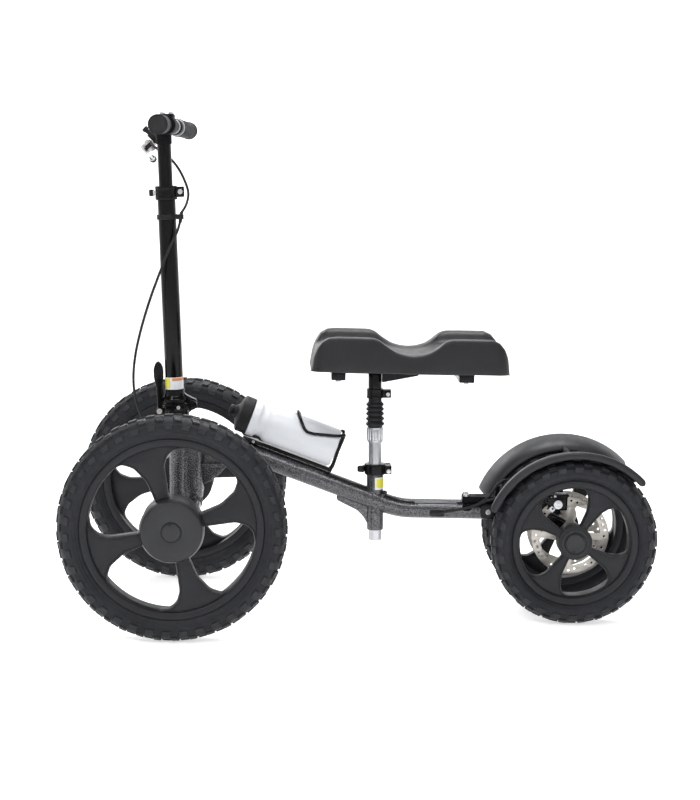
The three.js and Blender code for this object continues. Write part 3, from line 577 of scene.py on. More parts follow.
def window(inner, outer, centre, mirror):
    """An opening between two spokes, with corners that sweep the same way round."""
    swept = [(0, -30), (0.45, -33.5), (0.79, -29.5), (0.97, -24), (1, -19)]
    swept += [(1, angle) for angle in range(-14, 19, 4)]
    swept += [(1, 20), (0.95, 27.5), (0.83, 32.3), (0.62, 35.5), (0, 34)]
    points = [polar(inner + share * (outer - inner), centre + angle) for share, angle in swept]
    points = [(x, -y) for x, y in points] if mirror else points
    return soften(points, 6, 3)


def rim(name, place, body, side, sizes, phase, hub_low, hub_high):
    """A barrel with four swept spokes and a hub, its spokes turned to the phase in degrees."""
    radius, hub = sizes["rim"], sizes["hub"]
    barrel = radius - 15
    shape = Shape()
    shape.lathe([(barrel, -22), (radius - 1, -22.4), (radius, -20), (radius - 4.3, -17), (radius - 4.3, 17),
                 (radius, 20), (radius - 1.2, 22.6), (radius - 4, 23.2), (barrel + 3, 22.2), (barrel, 19)],
                sides=144, edge=1.6)
    windows = [window(hub - 2, barrel - 1, phase + 45 + 90 * i, side > 0) for i in range(4)]
    shape.plate([ring_of(barrel + 10.4, 144), *windows], -4, 16, edge=4.2)
    outward = 1 if side < 0 else -1
    for loop in windows:
        path = [Vector((x, y, 15.4)) for x, y in loop]
        rings = []
        for i, point in enumerate(path):
            way = (path[(i + 1) % len(path)] - path[i - 1]).normalized()
            out = way.cross(Vector((0, 0, 1))) * outward
            rings.append([point + out * (2.6 + 2 * cos(pi * j / 4)) + Vector((0, 0, 2.4 * sin(pi * j / 4)))
                          for j in range(8)])
        shape.loft(rings)
    shape.lathe([(6.4, hub_low), (hub, hub_low), (hub, hub_high), (6.4, hub_high)], sides=96, edge=1.5)
    if sizes is REAR_WHEEL:
        shape.sleeve(8, 24, -43.6, -13)
    end, label = name.split("_rim_")
    piece(f"{end}_rim_spokes_{label}", shape, body, "charcoal_plastic", place, [name])


def hub_cap(name, place, body, side, front):
    # The notch is not cut into the cover. A small darker disc on the cover is painted shade, standing in for
    # the shade inside the notch.
    shape, painted_notch_shade = Shape(), Shape()
    if front:
        shape.lathe([(0, 22.2), (57.5, 22.2), (57, 26), (53.5, 36.4), (50, 38), (18.6, 38), (17.4, 36.6),
                     (0, 36.6)], sides=120, edge=2.2)
        shape.lathe([(0, 36), (16.3, 36), (16.3, 38.2), (14.8, 39), (0, 39.4)], sides=64, edge=0.9)
        painted_notch_shade.disc(2.4, 38, 39.5, shift(*polar(13.4, side * -100), 0), 20, 0.3)
    else:
        shape.lathe([(0, 19), (18.4, 19), (18.2, 22), (16.4, 23.2), (13.6, 23.4), (13, 22.8), (0, 23)],
                    sides=72, edge=0.9)
        shape.sleeve(22, 24.5, 18, 20.2)
        painted_notch_shade.disc(2.2, 22.4, 23.6, shift(*polar(15.4, side * 100), 0), 20, 0.3)
    piece(name + "_cover", shape, body, "charcoal_plastic", place, [name], surface="cap_plastic")
    piece(name + "_notch", painted_notch_shade, body, "charcoal_plastic", place, [name], surface="black_plastic")


def rotor(name, place, body):
    loops = [ring_of(73, 144)]
    for i in range(4):
        loops.append(soften([polar(r, 90 * i + 45 + a) for r, a in (
            (27, -26), (40, -36), (55.5, -40), (58, -36), (58.4, -15), (58.4, 0), (58.4, 15), (58, 34),
            (55.5, 38), (40, 28), (27, 31))], 3))
    for i in range(36):
        if i % 6 != 5:
            loops.append(ring_of(2.3, 16, polar(67 if i % 2 else 64.4, 10 * i)))
    shape = Shape().plate([*loops, ring_of(8, 40)], -1, 1, edge=0.25)
    bolts = Shape()
    for i in range(4):
        x, y = polar(18.5, 90 * i + 20)
        bolts.bolt((x, y, -0.5), (x, y, -3.2), 3.2)
    place = place @ shift(0, 0, -45)
    piece(name + "_disc", shape, body, "steel", place, [name])
    piece(name + "_bolts", bolts, body, "steel", place, [name], surface="black_paint")


def add_wheels():
    for label, side in SIDES:
        front = wheel_place(KINGPIN_X, 228, FRONT_WHEEL["radius"], side)
        rear = wheel_place(REAR_AXLE_X, 76, REAR_WHEEL["radius"], side)
        phase = 17 if side < 0 else 11
        tyre(f"front_tyre_{label}", front, f"front_wheel_{label}", FRONT_WHEEL)
        rim(f"front_rim_{label}", front, f"front_wheel_{label}", side, FRONT_WHEEL, phase, -26, 22)
        hub_cap(f"front_hub_cap_{label}", front, f"front_wheel_{label}", side, True)
        tyre(f"rear_tyre_{label}", rear, f"rear_wheel_{label}", REAR_WHEEL)
        rim(f"rear_rim_{label}", rear, f"rear_wheel_{label}", side, REAR_WHEEL, 59, -14, 19)
        hub_cap(f"rear_hub_cap_{label}", rear, f"rear_wheel_{label}", side, False)
        rotor(f"brake_rotor_{label}", rear, f"rear_wheel_{label}")


# ---- Frame ----

def beam_height(x):
    return BEAM_TAIL_Z - BEAM_SLOPE * (x - BEND_X)


def add_beam():
    tail = shift(0, 0, BEAM_TAIL_Z) @ turn("Y", 90)
    slanted = [(x, 0, beam_height(x)) for x in (-338, -150, 20, BEND_X - BEND_REACH)]
    bend = [(BEND_X + BEND_REACH * (2 * t - 1), 0, BEAM_TAIL_Z + BEAM_SLOPE * BEND_REACH * (1 - t) ** 2)
            for t in (0.15, 0.3, 0.45, 0.6, 0.75, 0.9)]
    level = [(x, 0, BEAM_TAIL_Z) for x in (BEND_X + BEND_REACH, 180, 300)]
    shape = Shape().tube([*slanted, *bend, *level], BEAM_RADIUS, sides=48)
    shape.sleeve(14.5, 18.6, 297, 300.4, tail)
    shape.lathe([(12.4, 208), (16.4, 208), (16.6, 213), (15.8, 215), (15.8, 355), (16.8, 357), (16.8, 362),
                 (12.4, 362)], HEAD, 72, 0.8)
    shape.weld((-347, 0, beam_height(-347)), (1, 0, -BEAM_SLOPE), BEAM_RADIUS,
               (-347, 0, 0), (0, 0, 1), 15.8, 2.4)
    piece("main_beam_tube", shape, "frame", "frame_paint", replaces=["main_beam"])
    grommet = Shape()
    grommet.plate([soften([(126, 185.5), (154, 185.5), (154, 198.5), (126, 198.5)], 6.4)], 18.2, 20.2,
                  UPRIGHT, 0.7)
    grommet.bent([(128, -20.4, 192), (134, -21.4, 192), (141, -21.9, 192.2)], 3.4, sides=16)
    piece("beam_grommet", grommet, "frame", "rubber")
    film = Shape()
    for low, start, end in ((98, 212, 226), (104, 232, 238)):
        film.arc_band(BEAM_RADIUS, 18.85, low, 178, start, end, tail, 0.12)
    piece("beam_film", film, "frame", "white_plastic", surface="silver_film")


def add_front_axle():
    shape = Shape()
    shape.rod((-315, -138, 202), (-315, 138, 202), 12)
    shape.disc(15.2, 212, 322, shift(-315, 0, 0), 60, 1.2)
    shape.block((-344, -17, 213), (-300, 17, 323), corner=15, edge=3)
    shape.side_plate([(-304, 262), (-262, 278), (-262, 312), (-304, 324)], -4, 4, 1, 4)
    for side in (-1, 1):
        shape.rod((-315, side * 135, 202), (KINGPIN_X, side * KINGPIN_Y, 202), 12)
        shape.sleeve(8.4, 15, 180, 225, shift(KINGPIN_X, side * KINGPIN_Y, 0))
        shape.weld((-315, 0, 202), (0, side, 0), 12, (-315, 0, 0), (0, 0, 1), 15.2, 2)
    web = [(-303, 236), (-285, 242), (-270, 256), (-255, 272), (-255, 277), (-303, 277)]
    shape.side_plate(web, -3, 3)
    shape.block((-303, -14, 272), (-255, 14, 277))
    piece("front_axle_tube", shape, "frame", "frame_paint", replaces=["front_axle_beam"])
    sleeve = Shape().sleeve(12.4, 19.5, 362.3, 369, HEAD)
    sleeve.sleeve(12.4, 18.2, 358, 363, HEAD)
    piece("head_bearing_ring", sleeve, "frame", "black_paint", replaces=["head_bearing"])


def add_seat_tube():
    shape = Shape().sleeve(13.1, 16, 20, 140, SEAT)
    brace = [(-49, 222), (-49, 211), (-33, 203), (-10, 192), (2, 180), (10, 166), (24, 166), (24, 205),
             (0, 222)]
    shape.side_plate(brace, -5, 5, 1.5, 4)
    shape.weld((26, 0, 204), (0.02, 0, 1), 16,
               (BEND_X, 0, BEAM_TAIL_Z), (1, 0, -BEAM_SLOPE), BEAM_RADIUS, 3.4)
    piece("seat_tube_pipe", shape, "frame", "frame_paint", replaces=["seat_tube"])
    label = Shape().arc_band(16, 16.3, 98, 121, -94, -4, SEAT)
    piece("seat_tube_label", label, "frame", "white_plastic")
    patch = Shape().arc_band(16.2, 16.5, 101, 118, -84, -24, SEAT)
    piece("seat_tube_label_patch", patch, "frame", "white_plastic", surface="yellow_film")


def add_rear_frame():
    shape = Shape()
    outline = [(222, 184), (300, 180), (378, 142), (391, 138), (404, 142), (409, 156), (405, 166), (356, 192),
               (352, 216), (334, 216), (330, 203), (300, 213), (222, 211)]
    for side in (1, -1):
        shape.side_plate(outline, side * 19.2, side * 24, 0.8, 6)
    shape.block((303, -20, 181), (352, 20, 187))
    shape.rod((REAR_AXLE_X, -29.5, REAR_AXLE_Z), (REAR_AXLE_X, 29.5, REAR_AXLE_Z), 12)
    piece("rear_carrier_plates", shape, "frame", "black_paint", replaces=["rear_carrier"])
    bolts = Shape()
    for x in (236, 284):
        for side in (-1, 1):
            bolts.bolt((x, side * 23.8, BEAM_TAIL_Z), (x, side * 27.6, BEAM_TAIL_Z), 5)
    piece("rear_carrier_bolts", bolts, "frame", "black_paint", surface="aluminium")
    axle = Shape().rod((REAR_AXLE_X, -92, REAR_AXLE_Z), (REAR_AXLE_X, 92, REAR_AXLE_Z), 6)
    for side in (-1, 1):
        axle.plate([ring_of(10.5, 6)], 81.6, 89, wheel_place(REAR_AXLE_X, 0, REAR_AXLE_Z, side), 0.8)
    piece("rear_axle_rod", axle, "frame", "steel", replaces=["rear_axle"])
    bracket = Shape()
    bracket.block((188, -16, 211), (262, 16, 224), corner=4)
    saddle = [(188, 211), (262, 211), (262, 197), (248, 197), (244, 206), (206, 206), (202, 197), (188, 197)]
    for side in (1, -1):
        bracket.side_plate(saddle, side * 15.5, side * 20, 0.8, 3)
    bracket.block((250, -8, 219), (268, 8, 243), corner=3)
    bracket.rod((262, -43.7, 238), (262, 43.7, 238), 5)
    bracket.rod((262, 0, 238), (385, 0, 309), 5)
    bracket.rod((385, -43.7, 309), (385, 43.7, 309), 5)
    piece("fender_bracket_bars", bracket, "frame", "black_paint", surface="matt_black",
          replaces=["fender_bracket"])
    bolts = Shape()
    for y in (-10, 10):
        bolts.bolt((195, y, 223.5), (195, y, 228), 5.5)
    piece("fender_bracket_bolts", bolts, "frame", "black_paint", surface="aluminium")


def fender(label, side):
    """A mudguard: a top that falls towards the middle, a beaded outer lip and an inner flange."""
    loop = [(159, 101), (158.8, 103.8), (161, 106), (165.6, 107), (169.8, 106.2), (172, 103.8),
            (172.6, 100), (171.8, 95), (170.4, 86), (168.4, 76), (165.4, 66), (161.2, 57), (156, 50.5),
            (150.6, 46.6), (149.2, 46.8), (149.2, 48.6), (154, 52.4), (158.8, 58.6), (162.8, 67), (165.8, 77),
            (167.8, 87), (168.4, 96), (167, 99.4), (164, 100.4)]
    rings = []
    start, sweep, steps, middle = 43, 116.5, 120, 166
    for i in range(steps + 1):
        angle = radians(start + sweep * i / steps)
        near_end = min(1.0, min(i, steps - i) / 2.4)
        thickness = 0.45 + 0.55 * (1 - (1 - near_end) ** 2) ** 0.5
        drawn = [(middle + (r - middle) * thickness, side * y) for r, y in loop]
        rings.append([(r * cos(angle), y, r * sin(angle)) for r, y in drawn])
    shape = Shape().loft(rings, around=False)
    place = shift(REAR_AXLE_X, 0, REAR_AXLE_Z)
    # Painted light: the mudguards' plastic is lightened to stand in for the light on their tops and lips.
    piece(f"fender_{label}_guard", shape, "frame", "charcoal_plastic", place, [f"fender_{label}"],
          "lit_mudguard_plastic", sharp=50)


def caliper(label, side):
    """A brake caliper over the rotor, built for the right and mirrored for the left."""
    def y(value):
        return side * value

    body = Shape().block((344, y(24.3), 205), (384, y(29.2), 236), corner=4, edge=1.5)
    body.block((346, y(32.8), 207), (382, y(47), 236), corner=5, edge=2)
    body.block((344, y(24.3), 231.5), (384, y(47), 237.5), corner=4, edge=2)
    body.rod((364, y(46), 221), (364, y(50), 221), 12)
    piece(f"caliper_{label}_body", body, "frame", "black_paint", replaces=[f"caliper_{label}"])
    trim = Shape().bolt((362, y(54.4), 220), (362, y(57.6), 220), 8.4)
    trim.side_plate([(345.6, 209), (353, 202.6), (359, 209.4), (351.6, 216)], y(47), y(48.6), 0.4, 1.4,
                    [ring_of(1.9, 20, (353.4, 210.4))])
    trim.rod((364, y(45), 221), (364, y(58), 221), 3)
    trim.bolt((350, y(46.5), 231), (350, y(50), 231), 2.4)
    trim.bolt((357, y(46.5), 234), (357, y(50), 234), 2.2)
    piece(f"caliper_{label}_adjuster", trim, "frame", "black_paint", surface="aluminium")
    arm = Shape().rod((364, y(50.3), 221), (364, y(54.3), 221), 10)
    arm.side_plate([(362, 212), (340, 221), (336, 228), (342, 234), (366, 230)], y(50.3), y(54.3), 0.6, 3,
                   [ring_of(2.2, 20, (343, 227))])
    piece(f"caliper_arm_{label}_lever", arm, f"caliper_arm_{label}_body", "black_paint",
          replaces=[f"caliper_arm_{label}"])


# ---- Steering ----

def add_column():
    shape = Shape()
    arm = [(14, -13), (14, 13), (-40, 22), (-47, 14), (-47, -14), (-40, -22)]
    shape.slab(arm, 186, 193, 1.2, 5, place=HEAD)
    shape.disc(12, 190, 368.6, HEAD)
    shape.disc(15, 186, 207.6, HEAD)
    for side in (-1, 1):
        stud = HEAD @ shift(-40, side * 14, 0)
        shape.disc(3, 187, 201, stud, 24)
        shape.plate([ring_of(5.2, 6)], 201, 204.5, stud, 0.5)
    piece("steering_shaft_arm", shape, "column", "black_paint", replaces=["steering_shaft"])
    base = Shape()
    base.block((-373, -16, 374), (-334, 16, 389.7), corner=4, edge=2)
    base.lathe([(0, 369.3), (19.6, 369.3), (19.6, 372), (18, 379), (0, 379)], HEAD, edge=1)
    for side in (-1, 1):
        for hinge_x, z, near, far, radius, ear in (
                (-322, 388, 8, 15, 9, [(-342, 377), (-326, 379.5), (-322, 389.7), (-342, 389.7)]),
                (-382, 375, 7.4, 12, 6.5, [(-384, 369), (-368, 374), (-368, 382), (-382, 381.4)])):
            base.rod((hinge_x, side * near, z), (hinge_x, side * far, z), radius)
            base.side_plate(ear, side * near, side * far, 0.8, 2)
    piece("fold_base_casting", base, "column", "black_paint", replaces=["fold_base"])
    hinge = Shape().rod((-322, -15, 388), (-322, 15, 388), 4)
    pins = Shape().bolt((-347, -15.6, 383), (-347, -18, 383), 3.4)
    for side in (-1, 1):
        hinge.bolt((-322, side * 14.6, 388), (-322, side * 17, 388), 5.4)
        pins.bolt((-382, side * 11.6, 375), (-382, side * 15, 375), 5)
    piece("fold_base_hinge_pin", hinge, "column", "black_paint", replaces=["fold_base"])
    piece("fold_base_pins", pins, "column", "black_paint", surface="steel", replaces=["fold_base"])


def add_linkage(label, side):
    height = 197.2
    start, end = Vector((-387, side * 14, height)), Vector((-384, side * 174, height))
    rod = Shape()
    for eye in (start, end):
        rod.sleeve(3.4, 7.5, 193.4, 201, shift(eye.x, eye.y, 0))
    rod.rod(start, end, 3.6)
    for share in (0.08, 0.92):
        centre = start.lerp(end, share)
        reach = (end - start).normalized() * 5
        rod.rod(centre - reach, centre + reach, 5.2, sides=6)
    piece(f"tie_rod_{label}_bar", rod, f"tie_rod_{label}_body", "steel", replaces=[f"tie_rod_{label}"])
    place = shift(KINGPIN_X, side * KINGPIN_Y, 0) @ Matrix.Diagonal((1, side, 1, 1))
    knuckle = Shape()
    knuckle.disc(8, 170, 235, place)
    yoke = [(-12, -12), (12, -12), (12, 27), (-12, 27)]
    knuckle.slab(yoke, 170, 179.6, 1, 4, place=place)
    knuckle.slab(yoke, 225.4, 235, 1, 4, place=place)
    knuckle.slab([(-12, 17), (12, 17), (12, 27), (-12, 27)], 172, 233, 1, 2, place=place)
    knuckle.slab([(-8, 17), (-8, 27), (-40, 22), (-47, 14), (-40, 7)], 186, 193, 1, 3, place=place)
    knuckle.disc(3, 187, 201, place @ shift(-40, 14, 0), 24)
    knuckle.rod((0, 20, 203), (0, 80, 203), 6, place)
    knuckle.rod((0, 26, 203), (0, 41.5, 203), 11, place)
    knuckle.rod((0, 77.6, 203), (0, 83.5, 203), 10, place, 6)
    piece(f"knuckle_{label}_yoke", knuckle, f"knuckle_{label}_body", "black_paint",
          replaces=[f"knuckle_{label}"])


def add_tiller():
    lever = Shape()
    lever.side_plate([(-386, 374), (-387, 395), (-388.5, 416), (-393.6, 436), (-394.6, 453), (-391, 464),
                      (-386, 467.6), (-379.5, 462), (-376.4, 452), (-376, 437), (-377.6, 424), (-377.4, 400),
                      (-377, 376)], -7, 7, 2, 4)
    lever.rod((-382, -7, 375), (-382, 7, 375), 6.3)
    piece("fold_lever_paddle", lever, "fold_latch", "black_paint", replaces=["fold_lever"])
    casting = Shape()
    casting.lathe([(14, 14), (24, 14), (23, 19), (19.4, 24), (18.2, 30), (18, 36), (16.8, 36)], TILLER,
                  edge=1.6)
    casting.block((-374, -18, 390.4), (-334, 18, 398), corner=6, edge=2.2)
    casting.side_plate([(-346, 391), (-322, 391), (-313.4, 391.5), (-314.5, 397), (-324, 401), (-334, 406),
                        (-341, 414), (-346, 414)], -7.6, 7.6, 1.6, 4)
    casting.rod((-322, -7.6, 388), (-322, 7.6, 388), 9)
    piece("fold_casting_socket", casting, "tiller", "black_paint", replaces=["fold_casting"])
    tube = Shape().sleeve(13.1, TILLER_RADIUS, 20, 405, TILLER)
    piece("tiller_tube_pipe", tube, "tiller", "black_paint", replaces=["tiller_tube"])
    for name, inner, outer, low, high, start, end, film in (
            ("white", TILLER_RADIUS, 16.8, 36.4, 59, -178, 20, None),
            ("patch", 16.7, 16.95, 38, 57, -174, -116, "yellow_film"),
            ("band", 16.7, 16.95, 52.5, 58, -100, 16, "orange_film")):
        label = Shape().arc_band(inner, outer, low, high, start, end, TILLER)
        piece("tiller_label_" + name, label, "tiller", "white_plastic", surface=film)
    clamp = Shape()
    clamp.lathe([(16.8, 386), (20.2, 386), (20.2, 392), (19.6, 394), (19.6, 405), (20.2, 407), (20.2, 411),
                 (13.2, 411), (13.2, 405.3), (16.8, 405.3)], TILLER, edge=0.7)
    for low, high in ((-8, -1), (1, 8)):
        clamp.block((16, low, 390), (33, high, 409), TILLER, 3, 1)
    piece("stem_clamp_collar", clamp, "tiller", "black_paint", replaces=["stem_clamp"])
    bolt = Shape().bolt((26, -7.6, 400), (26, -12, 400), 4.5, TILLER)
    bolt.rod((26, 7.6, 400), (26, 11, 400), 4.5, TILLER, 6)
    piece("stem_clamp_bolt", bolt, "tiller", "black_paint", surface="aluminium")
    collar = Shape().rod((-20.3, 0, 399), (-23.4, 0, 399), 5.6, TILLER, 32, 0.4)
    piece("stem_clamp_knob_collar", collar, "stem_knob", "black_plastic", surface="aluminium")
    knob = Shape().rod((-20.3, 0, 399), (-24, 0, 399), 4, TILLER)
    knob.fluted(6.2, 0.7, 10, 0, 8, TILLER @ aim((-23, 0, 399), (-31, 0, 399)), 0.9)
    piece("stem_clamp_knob_grip", knob, "stem_knob", "black_plastic", replaces=["stem_clamp_knob"])
    guide = Shape().sleeve(16.6, 19, 350, 359, TILLER)
    guide.sleeve(2.7, 6.2, 350, 359, TILLER @ shift(24.5, -10.5, 0), 32)
    guide.block((14, -13, 351), (24, -6, 358), TILLER @ turn("Z", -8), 2)
    guide.bent([(-345.9, -7.6, 743), (-346.6, -9, 739), (-347.1, -10.4, 733), (-348, -12, 725)], 3.3)
    piece("cable_guide_ring", guide, "tiller", "black_plastic", replaces=["cable_guide"])


def bar_point(y):
    """The middle of the bar at a place along it: straight at the clamp, swept back and down outside."""
    share = max(0.0, (abs(y) - 60) / 185)
    return 13 * share, y, -5 * share


def bar_place(start, end):
    """A place on the bar at start, aimed along it towards end."""
    return BAR @ aim(bar_point(start), bar_point(end))


def add_handlebar():
    stem = Shape().sleeve(11, 12.7, 215, 500, STEM)
    piece("stem_tube_pipe", stem, "handlebar_stem", "black_paint", replaces=["stem_tube"])
    bar = Shape().rod(bar_point(-60), bar_point(60), BAR_RADIUS, BAR)
    for side in (-1, 1):
        bar.rod(bar_point(side * 59), bar_point(side * 242), BAR_RADIUS, BAR)
    piece("handlebar_tube", bar, "handlebar_stem", "black_paint", surface="matt_black",
          replaces=["handlebar"])
    clamp = Shape().lathe([(0, 486), (14.4, 486), (14.4, 504), (16, 509), (16.5, 512), (0, 514)], STEM,
                          edge=2)
    clamp.rod((0, -23, 0), (0, 23, 0), 17.5, BAR, 48, 1.6)
    clamp.block((-13, -20, 12), (13, 20, 20), BAR, 4, 2)
    piece("bar_clamp_body", clamp, "handlebar_stem", "black_paint", surface="matt_black",
          replaces=["bar_clamp"])
    bolts = Shape()
    for x in (-8, 8):
        for y in (-13, 13):
            bolts.bolt((x, y, 19.4), (x, y, 23.6), 3.4, BAR)
    for y, radius, half in ((46, 12.6, 1.8), (62, 12.6, 1.8), (-115, 16.2, 1.6), (76, 14.2, 1.6),
                            (114, 16.2, 1.6)):
        bolts.sleeve(BAR_RADIUS, radius, -half, half, bar_place(y, y + 1))
    piece("bar_clamp_bolts", bolts, "handlebar_stem", "black_paint", surface="aluminium")
    for label, side in SIDES:
        profile = [(11.3, 0), (17.2, 0), (17.4, 3.5), (15.2, 5)]
        for i in range(26):
            at = 6 + 4.4 * i
            profile += [(15.3, at), (16.2, at + 0.8), (16.2, at + 3.0), (15.3, at + 3.8)]
        profile += [(15.3, 121), (17.0, 122), (17.0, 127), (15.5, 127.4), (11.3, 124)]
        place = bar_place(side * 118, side * 245)
        shape = Shape().lathe(profile, place, 64, 0.3).disc(14.5, 125.5, 128, place, 48, 1)
        piece(f"grip_{label}_sleeve", shape, "handlebar_stem", "rubber", replaces=[f"grip_{label}"])
    add_brake()


def add_brake():
    perch = Shape().sleeve(BAR_RADIUS, 15.2, -7.5, 7.5, bar_place(100.5, 108), edge=1.2)
    perch.rod((-51, 7, 0), (0, 0, 0), 5, LEVER, 24, 2)
    perch.disc(8, -5, 5, LEVER, 40, 1.2)
    perch.rod((-34, 94, -22), (-45, 94, -11), 6.8, BAR, 32, 1.2)
    perch.rod((-30, 92, -20), (-12, 96, -8), 6, BAR, 24, 2)
    piece("brake_perch_body", perch, "handlebar_stem", "black_plastic", replaces=["brake_perch"])
    trim = Shape()
    for side in (1, -1):
        trim.bolt((0, 0, side * 9.6), (0, 0, side * 12), 4.4, LEVER)
    trim.rod((-25, 90, -16), (-27, 82, -14), 3.4, BAR)
    for low in (-5.4, 4.2):
        trim.disc(9.4, low, low + 1.2, LEVER, 40, 0.4)
    trim.rod((-22, 7, 0), (-4, 1, 0), 6.2, LEVER, 32, 2)
    piece("brake_perch_pin", trim, "handlebar_stem", "black_plastic", surface="steel")
    button = Shape().rod((-42.5, 94, -13.5), (-53, 94, -3), 4.4, BAR)
    button.rod((-50, 94, -6), (-55, 94, -1), 6, BAR, 32, 1.6)
    piece("brake_lock_button_cap", button, "lock_button", "black_plastic", replaces=["brake_lock_button"])
    path = smooth_path([(13, 2, 0), (16, 14, 0.4), (16.6, 28, 1), (17, 55, 3), (18, 75, 6), (19.2, 91, 9),
                        (20.4, 103, 12)], 6)
    half_thickness = 2.4
    rings = []
    for i, point in enumerate(path):
        half_width = 5.5 + 4.6 * min(1, i / 8) - 3.6 * (i / len(path))
        way = (path[min(i + 1, len(path) - 1)] - path[max(i - 1, 0)]).normalized()
        flat = (Vector((0, 0, 1)) - way * way.z).normalized()
        thin = way.cross(flat)
        rings.append([point + flat * x + thin * y for x, y in
                      ((half_width * x, half_thickness * y) for x, y in ring_of(1, 20))])
    blade = Shape().loft(rings, around=False)
    for low in (-9.2, 5.6):
        high = low + 3.6
        blade.disc(8, low, high, sides=36, edge=0.7)
        blade.slab([(2, -7), (13, -6), (17, 8), (6, 8)], low, high, 0.6, 3)
    blade.block((10, -5.5, -8.6), (15, 9, 8.6), corner=2)
    blade.rod((5, 9, 0), (14, 22, 0), 6.2, STILL, 32, 2)
    piece("brake_lever_blade", blade, "brake_hand_lever", "aluminium", LEVER, ["brake_lever"])
    ball = Shape()
    profile = [(0, -7.4), *(polar(7.2, angle) for angle in range(-80, 81, 10)), (0, 7.4)]
    ball.lathe(profile, shift(21, 108, 14), 40, 0)
    ball.rod((20, 98, 10.8), (20.6, 103, 12.6), 4.4, STILL, 32, 0.6)
    ring = Shape().rod((20.1, 99, 11.2), (20.6, 102.4, 12.4), 6, STILL, 32, 1)
    piece("brake_lever_ring", ring, "brake_hand_lever", "aluminium", LEVER)
    piece("brake_lever_ball", ball, "brake_hand_lever", "black_plastic", LEVER)


# ---- Seat ----

def add_seat():
    clamp = Shape()
    clamp.lathe([(16.3, 126), (20, 126), (20.4, 129), (20.4, 143), (19.6, 146), (13.1, 146), (13.1, 140.3),
                 (16.3, 140.3)], SEAT, edge=0.9)
    for low, high in ((-9, -1), (1, 9)):
        clamp.block((16, low, 126), (31, high, 142), SEAT, 3, 1)
    piece("seat_clamp_collar", clamp, "frame", "black_paint", replaces=["seat_clamp"])
    bolt = Shape().rod((25, -13, 132), (25, 17, 132), 3, SEAT).bolt((25, -9, 132), (25, -13, 132), 4.2, SEAT)
    piece("seat_clamp_bolt", bolt, "frame", "black_paint", surface="aluminium")
    lever = Shape()
    lever.arc_band(21.5, 25.5, 129, 141, 48, 190, SEAT, 1.2)
    lever.disc(7, 129, 141, SEAT @ shift(24, 24.5, 0), 40, 1)
    lever.slab([(8, 21), (20, 17), (28, 19), (24, 27), (8, 25)], 129, 141, 1, 2, place=SEAT)
    lever.slab([(-34, -6), (-22, -8), (-20, 3), (-33, 4)], 130, 142, 3, 5, place=SEAT)
    piece("seat_clamp_lever_arm", lever, "seat_release", "black_plastic", replaces=["seat_clamp_lever"])
    post = Shape().sleeve(11, 12.7, 0, 190, SEAT)
    post.fluted(16, 1.4, 18, 191, 213, SEAT, 0.5)
    post.sleeve(12, 15.2, 188, 191.6, SEAT).sleeve(9, 15.2, 212.6, 215.4, SEAT)
    post.disc(9, 212, 275, SEAT)
    piece("seat_post_tube", post, "seat_height_post", "aluminium", replaces=["seat_post"])
    folds = Shape()
    outline, at = [(12.6, 215.6), (14.2, 216)], 216.6
    for i, height in enumerate((10.0, 9.5, 9.2, 8.8, 8.5)):
        outline += [(13.2, at), (17.6 - 0.25 * i, at + 0.36 * height), (17.4 - 0.25 * i, at + 0.62 * height),
                    (13.2, at + height)]
        at += height
    outline += [(12.6, at + 0.6), (12.4, 269.6), (9.6, 269.6), (9.6, 215.6)]
    folds.lathe(outline, SEAT, 72, 1.3)
    bellows = piece("shock_bellows_sleeve", folds, "seat_height_post", "rubber", replaces=["shock_bellows"])
    tuple(in_metres(SEAT @ shift(0, 0, 215.6)).translation)
    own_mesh(bellows)
    shock = Shape()
    shock.disc(12.4, 270, 316.5, SEAT)
    shock.lathe([(12, 270.4), (15.8, 270.4), (15.8, 274), (15.2, 276), (15.2, 284), (15.8, 288), (12, 288)],
                SEAT, edge=0.8)
    for low, high in ((-8, -1), (1, 8)):
        shock.block((12, low, 271), (30, high, 286), SEAT, 3, 1)
    piece("shock_tube_collar", shock, "sprung_seat", "black_paint", replaces=["shock_tube"])
    bolt = Shape().bolt((24, -7.6, 278), (24, -11, 278), 3.8, SEAT)
    bolt.rod((24, 7.6, 278), (24, 12, 278), 4.8, SEAT, 6)
    piece("shock_tube_bolt", bolt, "sprung_seat", "black_paint", surface="aluminium")
    bracket = Shape().block((-66, -16, 453.4), (197, 16, 460), corner=4)
    for front, rear in ((-66, -40), (169, 197)):
        bracket.block((front, -60, 446), (rear, 60, 462.6), corner=3, edge=1.2)
    bracket.side_plate([(30, 458), (98, 458), (98, 451), (30, 437)], -13, 13, 1, 2)
    piece("pad_bracket_channel", bracket, "sprung_seat", "black_paint", replaces=["pad_bracket"])
    screws = Shape()
    for x in (-53, 183):
        for y in (-46, 46):
            screws.bolt((x, y, 446.4), (x, y, 442.2), 5)
    piece("pad_bracket_bolts", screws, "sprung_seat", "black_paint", surface="aluminium")
    add_pad()


PAD_RIDGE = [(-104, 463), (-99, 492), (-93, 507), (-85, 519), (-72, 526.6), (-56, 528), (-20, 528),
             (8, 527.6), (20, 523), (32, 513.5), (50, 502.5), (66, 498), (81, 496.4), (98, 498), (114, 503),
             (128, 512.5), (139, 523), (152, 527.4), (180, 528), (226, 528), (240, 522), (250, 510),
             (256.5, 494), (261, 463)]


def pad_height(x):
    for (x0, z0), (x1, z1) in zip(PAD_RIDGE, PAD_RIDGE[1:]):
        if x <= x1:
            return z0 + (z1 - z0) * (x - x0) / (x1 - x0)
    return PAD_RIDGE[-1][1]


